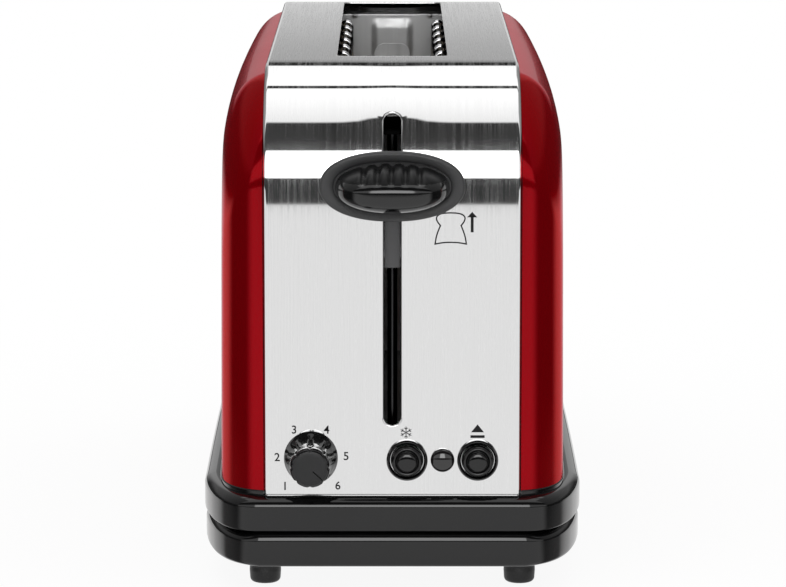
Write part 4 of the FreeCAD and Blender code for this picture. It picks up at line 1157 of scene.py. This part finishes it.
def film_line(name, points, width, x, z, closed=False):
    """A line of constant width through points given round (x, z), a film thick."""
    sides = stroke(points, width, closed)
    verts, faces, count = [], [], len(sides)
    for left, right in sides:
        for side in (left, right):
            for depth in (FILM_BACK, -FILM):
                verts.append(point(x + side.x, depth, z + side.y))
    spans = range(count) if closed else range(count - 1)
    for i in spans:
        a, b = 4 * i, 4 * ((i + 1) % count)
        for p, q in ((0, 1), (1, 3), (3, 2), (2, 0)):
            faces.append((a + p, a + q, b + q, b + p))
    if not closed:
        faces += [(0, 1, 3, 2), tuple(4 * (count - 1) + k for k in (0, 2, 3, 1))]
    build(name, verts, outward(verts, faces), "print", sharp=30.0)


def make_numbers():
    places = [(-43.0, 45.9), (-46.1, 57.7), (-39.3, 68.9), (-26.3, 68.9), (-18.5, 58.1), (-21.8, 46.1)]
    for number, (x, z) in enumerate(places, 1):
        curve = bpy.data.curves.new(f"dial_{number}", "FONT")
        curve.body = str(number)
        curve.size = 4.7 * MM
        curve.align_x = "CENTER"
        curve.extrude = FILM * MM / 2
        curve.offset = 0.00006
        text = bpy.data.objects.new(f"dial_{number}_text", curve)
        scene.collection.objects.link(text)
        mesh = evaluated(text)
        bpy.data.objects.remove(text)
        lows = [min(v.co.y for v in mesh.vertices), max(v.co.y for v in mesh.vertices)]
        sides = [min(v.co.x for v in mesh.vertices), max(v.co.x for v in mesh.vertices)]
        scale = 3.35 * MM / (lows[1] - lows[0])
        for v in mesh.vertices:
            px = (v.co.x - sum(sides) / 2) * scale
            pz = (v.co.y - sum(lows) / 2) * scale
            v.co = point(x, -FILM / 2, z) + Vector((px, -v.co.z, pz))
        mesh.materials.clear()
        dress(f"dial_number_{number}", mesh, "print", sharp=30.0)


def make_symbols():
    x, z, arm = 5.5, 67.7, 2.45
    for k in range(6):
        a = math.radians(90.0 + 60.0 * k)
        along = Vector((math.cos(a), math.sin(a)))
        film_line(f"snow_arm_{k}", [along * 0.12, along * arm], 0.34, x, z)
        for turn in (-1, 1):
            b = a + turn * math.radians(52.0)
            tip = along * 1.35 + Vector((math.cos(b), math.sin(b))) * 0.95
            film_line(f"snow_branch_{k}_{(turn + 1) // 2}", [along * 1.35, tip], 0.28, x, z)
    film("eject_triangle", [(-2.6, -1.6), (2.6, -1.6), (0.0, 1.6)], 34.1, 69.4)
    film("eject_bar", [(-2.85, -0.55), (2.85, -0.55), (2.85, 0.55), (-2.85, 0.55)], 34.1, 66.05)
    crust = smooth_line([(0.0, 6.2), (2.6, 6.05), (4.6, 5.5), (5.6, 4.4), (5.5, 3.2), (4.9, 2.1),
                         (4.1, 1.1)], 26)
    side = smooth_line([(4.1, 1.1), (5.1, -1.4), (5.8, -3.8), (6.2, -6.3)], 9)
    foot = smooth_line([(6.2, -6.3), (3.0, -5.75), (0.0, -5.6)], 6)
    curve = crust + side[1:] + foot[1:]
    outline = curve + [(-px, pz) for px, pz in reversed(curve[1:-1])]
    film_line("bread_outline", outline, 0.55, 23.2, 150.2, closed=True)
    film_line("arrow_stem", [(0.0, -4.1), (0.0, 2.3)], 1.15, 31.7, 152.7)
    film("arrow_head", [(-2.0, 1.9), (0.0, 4.1), (2.0, 1.9)], 31.7, 152.7)


make_numbers()
make_symbols()


# Inside the bread slot: the embossed far wall below the dark bracket


def make_far_wall():
    """A pressed sheet with a raised middle below the slot's far end, and the dark bracket over it."""
    low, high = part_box("slot_end_bracket")
    wall_depth = low.y / MM - FRONT - 1.4
    half, top, bottom = 24.0, high.z / MM - 2.0, 120.0
    forward = Vector((0.0, -1.0, 0.0))
    verts, count_x, count_z = [], 72, 96
    for j in range(count_z + 1):
        z = top - (top - bottom) * (j / count_z) ** 1.6
        for i in range(count_x + 1):
            x = -half + 2 * half * i / count_x
            across = 1 - smoothstep(6.6, 10.6, abs(x))
            over = 1 - smoothstep(top - 8.8, top - 3.4, z)
            dimple = math.exp(-((abs(x) - 17.8) / 0.9) ** 2 - ((z - top + 2.4) / 0.9) ** 2)
            rounded = 2.4 * smoothstep(top - 2.2, top, z)
            verts.append(point(x, wall_depth - 0.9 * across * over - 0.5 * dimple + rounded, z))
    # its rows run downwards, so its faces turn the other way
    faces = [(a, d, c, b) for a, b, c, d in grid_faces(count_z + 1, count_x + 1)]
    verts, faces, _ = shell(verts, faces, [forward] * len(verts), 0.8)
    build("far_wall_emboss", verts, faces, "far_wall", sharp=50.0)

    # the bracket's front: two raised ears, joined by a strip that dips between them
    verts, count_x, count_z = [], 96, 10
    for j in range(count_z + 1):
        for i in range(count_x + 1):
            x = -half + 2 * half * i / count_x
            ear = smoothstep(10.5, 17.0, abs(x))
            crown = high.z / MM - 1.1 + 1.1 * ear
            z = low.z / MM + (crown - low.z / MM) * j / count_z
            bulge = 0.8 * math.sin(math.pi * j / count_z) ** 2
            bulge += 1.6 * ear * smoothstep(0.82, 1.0, j / count_z)
            verts.append(point(x, wall_depth + 2.2 - bulge, z))
    faces = grid_faces(count_z + 1, count_x + 1)
    verts, faces, _ = shell(verts, faces, [forward] * len(verts), 1.2)
    build("slot_end_plate", verts, faces, "bracket", nodes=("slot_end_bracket",), sharp=50.0)


make_far_wall()


# CAD nodes that keep their own shape

KEPT = {
    "zinc": "chassis_front chassis_rear chassis_floor rear_floor reflector_left reflector_right crumb_tray",
    "flat_black": "top_bracket",
    "shield": "slot_liner",
    "slider": "slot_shield",
    "mica": "heater_board_left heater_board_right",
    "ribbon": "heating_ribbon_left heating_ribbon_right",
    "rod": "guide_rod",
    "chrome": "bread_rack bread_guide_left bread_guide_right",
    "carriage": "lever_arm carriage_plate latch_armature rack_arm carriage_spring electromagnet knob_shaft",
    "grey_plastic": "carriage_block potentiometer switch_blocks terminal_block",
    "board": "control_board",
    "rubber": "cord_gland",
    "base": "crumb_tray_pull",
    "screw": "base_screws rear_screws",
}
for name, nodes in KEPT.items():
    for node in nodes.split():
        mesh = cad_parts[node].data
        mesh.materials.clear()
        mesh.materials.append(MAT[name])


# Floor, world and lamps


def sky(nodes, vector):
    """Brightness of the studio seen in a reflection: long soft boxes over and before the object."""
    split = nodes.add("ShaderNodeSeparateXYZ", {"Vector": vector})
    x, y, z = (split.outputs[k] for k in range(3))
    forward = nodes.product(y, -1.0)
    aside = nodes.math("ABSOLUTE", x)
    rise, turn = nodes.degrees(z, forward), nodes.degrees(aside, forward)
    low, high = -10.0, 182.0
    bands = [(-10.0, 0.06), (5.5, 0.055), (6.5, 1.0), (36.0, 1.0), (37.2, 0.10), (45.0, 0.05), (67.5, 0.035),
             (69.5, 1.1), (80.0, 1.2), (111.3, 1.4), (112.2, 0.02), (115.2, 0.02), (116.0, 1.4),
             (153.0, 1.25), (154.5, 0.02), (163.0, 0.02), (168.0, 0.24), (174.2, 0.33), (175.3, 0.74),
             (182.0, 0.9)]
    stops = [((angle - low) / (high - low), level) for angle, level in bands]
    long_boxes = nodes.ramp(nodes.remap(rise, low, high, smooth=False), *stops)
    # the front soft box is brightest in its middle
    core = nodes.product(nodes.remap(rise, 5.5, 7.5), nodes.remap(rise, 37.0, 34.0))
    core = nodes.product(nodes.remap(turn, 17.0, 11.0), core)
    strong = nodes.math("ADD", nodes.product(core, 3.8), 1.0)
    boosted = nodes.add("ShaderNodeVectorMath", {0: long_boxes, "Scale": strong}, operation="SCALE")
    side = nodes.ramp(z, (0.0, 0.05), (0.12, 0.06), (0.24, 0.28), (0.60, 0.32), (0.95, 0.42))
    side = nodes.greatest(side, nodes.product(nodes.remap(turn, 158.0, 169.0), 0.62))
    ends = nodes.greatest(nodes.remap(turn, 76.0, 68.0), nodes.remap(turn, 173.5, 176.5))
    above = nodes.product(nodes.remap(z, 0.72, 0.8), nodes.remap(aside, 0.42, 0.34))
    return nodes.add("ShaderNodeMix", {
        0: nodes.greatest(ends, above), 6: side, 7: boosted.outputs[0],
    }, data_type="RGBA").outputs[2]


def by_ray(nodes, diffuse, glossy, camera):
    """One shader for diffuse rays, one for reflections and one for what the camera sees directly."""
    ray = nodes.add("ShaderNodeLightPath").outputs
    return nodes.mix(ray["Is Camera Ray"], nodes.mix(ray["Is Glossy Ray"], diffuse, glossy), camera)


def make_world():
    world = bpy.data.worlds.new("studio")
    scene.world = world
    world.use_nodes = True
    nodes = Nodes(world.node_tree)
    outwards = nodes.add("ShaderNodeTexCoord").outputs["Generated"]
    height = nodes.add("ShaderNodeSeparateXYZ", {"Vector": outwards}).outputs[2]
    dome = nodes.ramp(height, (0.0, 0.45), (0.35, 0.55), (0.9, 1.0))
    shaders = [nodes.light("Background", colour) for colour in (dome, sky(nodes, outwards), WHITE)]
    nodes.output("World", by_ray(nodes, *shaders))


def make_floor():
    """White ground. Reflections show it lit before and behind the object and dark beside it."""
    size = 14.0
    mesh = bpy.data.meshes.new("floor")
    corners = [(-size, -size, 0), (size, -size, 0), (size, size, 0), (-size, size, 0)]
    mesh.from_pydata(corners, [], [(0, 1, 2, 3)])
    floor = bpy.data.objects.new("floor", mesh)
    scene.collection.objects.link(floor)
    made = bpy.data.materials.new("floor")
    made.use_nodes = True
    nodes = Nodes(made.node_tree)
    split = nodes.add("ShaderNodeSeparateXYZ", {"Vector": nodes.place()})
    x, y = split.outputs[0], split.outputs[1]
    forward = nodes.product(nodes.math("ADD", y, 0.18), -1.0)
    aside = nodes.greatest(nodes.math("SUBTRACT", nodes.math("ABSOLUTE", x), 0.06), 0.0)
    turn = nodes.degrees(aside, forward)
    away = nodes.math("SQRT", nodes.math("ADD", nodes.product(x, x), nodes.product(y, y)))
    before = nodes.product(nodes.remap(turn, 78.0, 52.0), nodes.remap(forward, 1.20, 1.165))
    behind = nodes.product(nodes.remap(turn, 120.0, 142.0), nodes.remap(forward, -1.7, -1.1))
    level = nodes.remap(nodes.greatest(before, behind), 0.0, 1.0, 0.045, 0.97, smooth=False)
    plain = nodes.add("ShaderNodeBsdfDiffuse", {"Color": (0.86, 0.86, 0.86, 1.0)}).outputs[0]
    seen = nodes.mix(nodes.remap(away, 0.1, 0.6, 0.92, 1.0), plain, nodes.light("Emission", WHITE))
    mirror = nodes.light("Emission", WHITE, level)
    reflected = nodes.mix(nodes.remap(away, 0.2, 0.5, 0.75, 1.0), plain, mirror)
    nodes.output("Material", by_ray(nodes, plain, reflected, seen))
    mesh.materials.append(made)


def make_lamp(name, location, size, energy):
    lamp = bpy.data.lights.new(name, "AREA")
    lamp.size = size
    lamp.energy = energy
    holder = bpy.data.objects.new(name, lamp)
    holder.location = location
    holder.rotation_euler = (Vector((0.0, 0.0, 0.1)) - Vector(location)).to_track_quat("-Z", "Y").to_euler()
    holder.visible_glossy = False
    scene.collection.objects.link(holder)


make_world()
make_floor()
make_lamp("key", (-0.5, -1.2, 2.0), 1.6, 14.0)
make_lamp("fill", (1.6, 0.6, 1.6), 1.6, 8.0)

scene.view_settings.view_transform = "Standard"
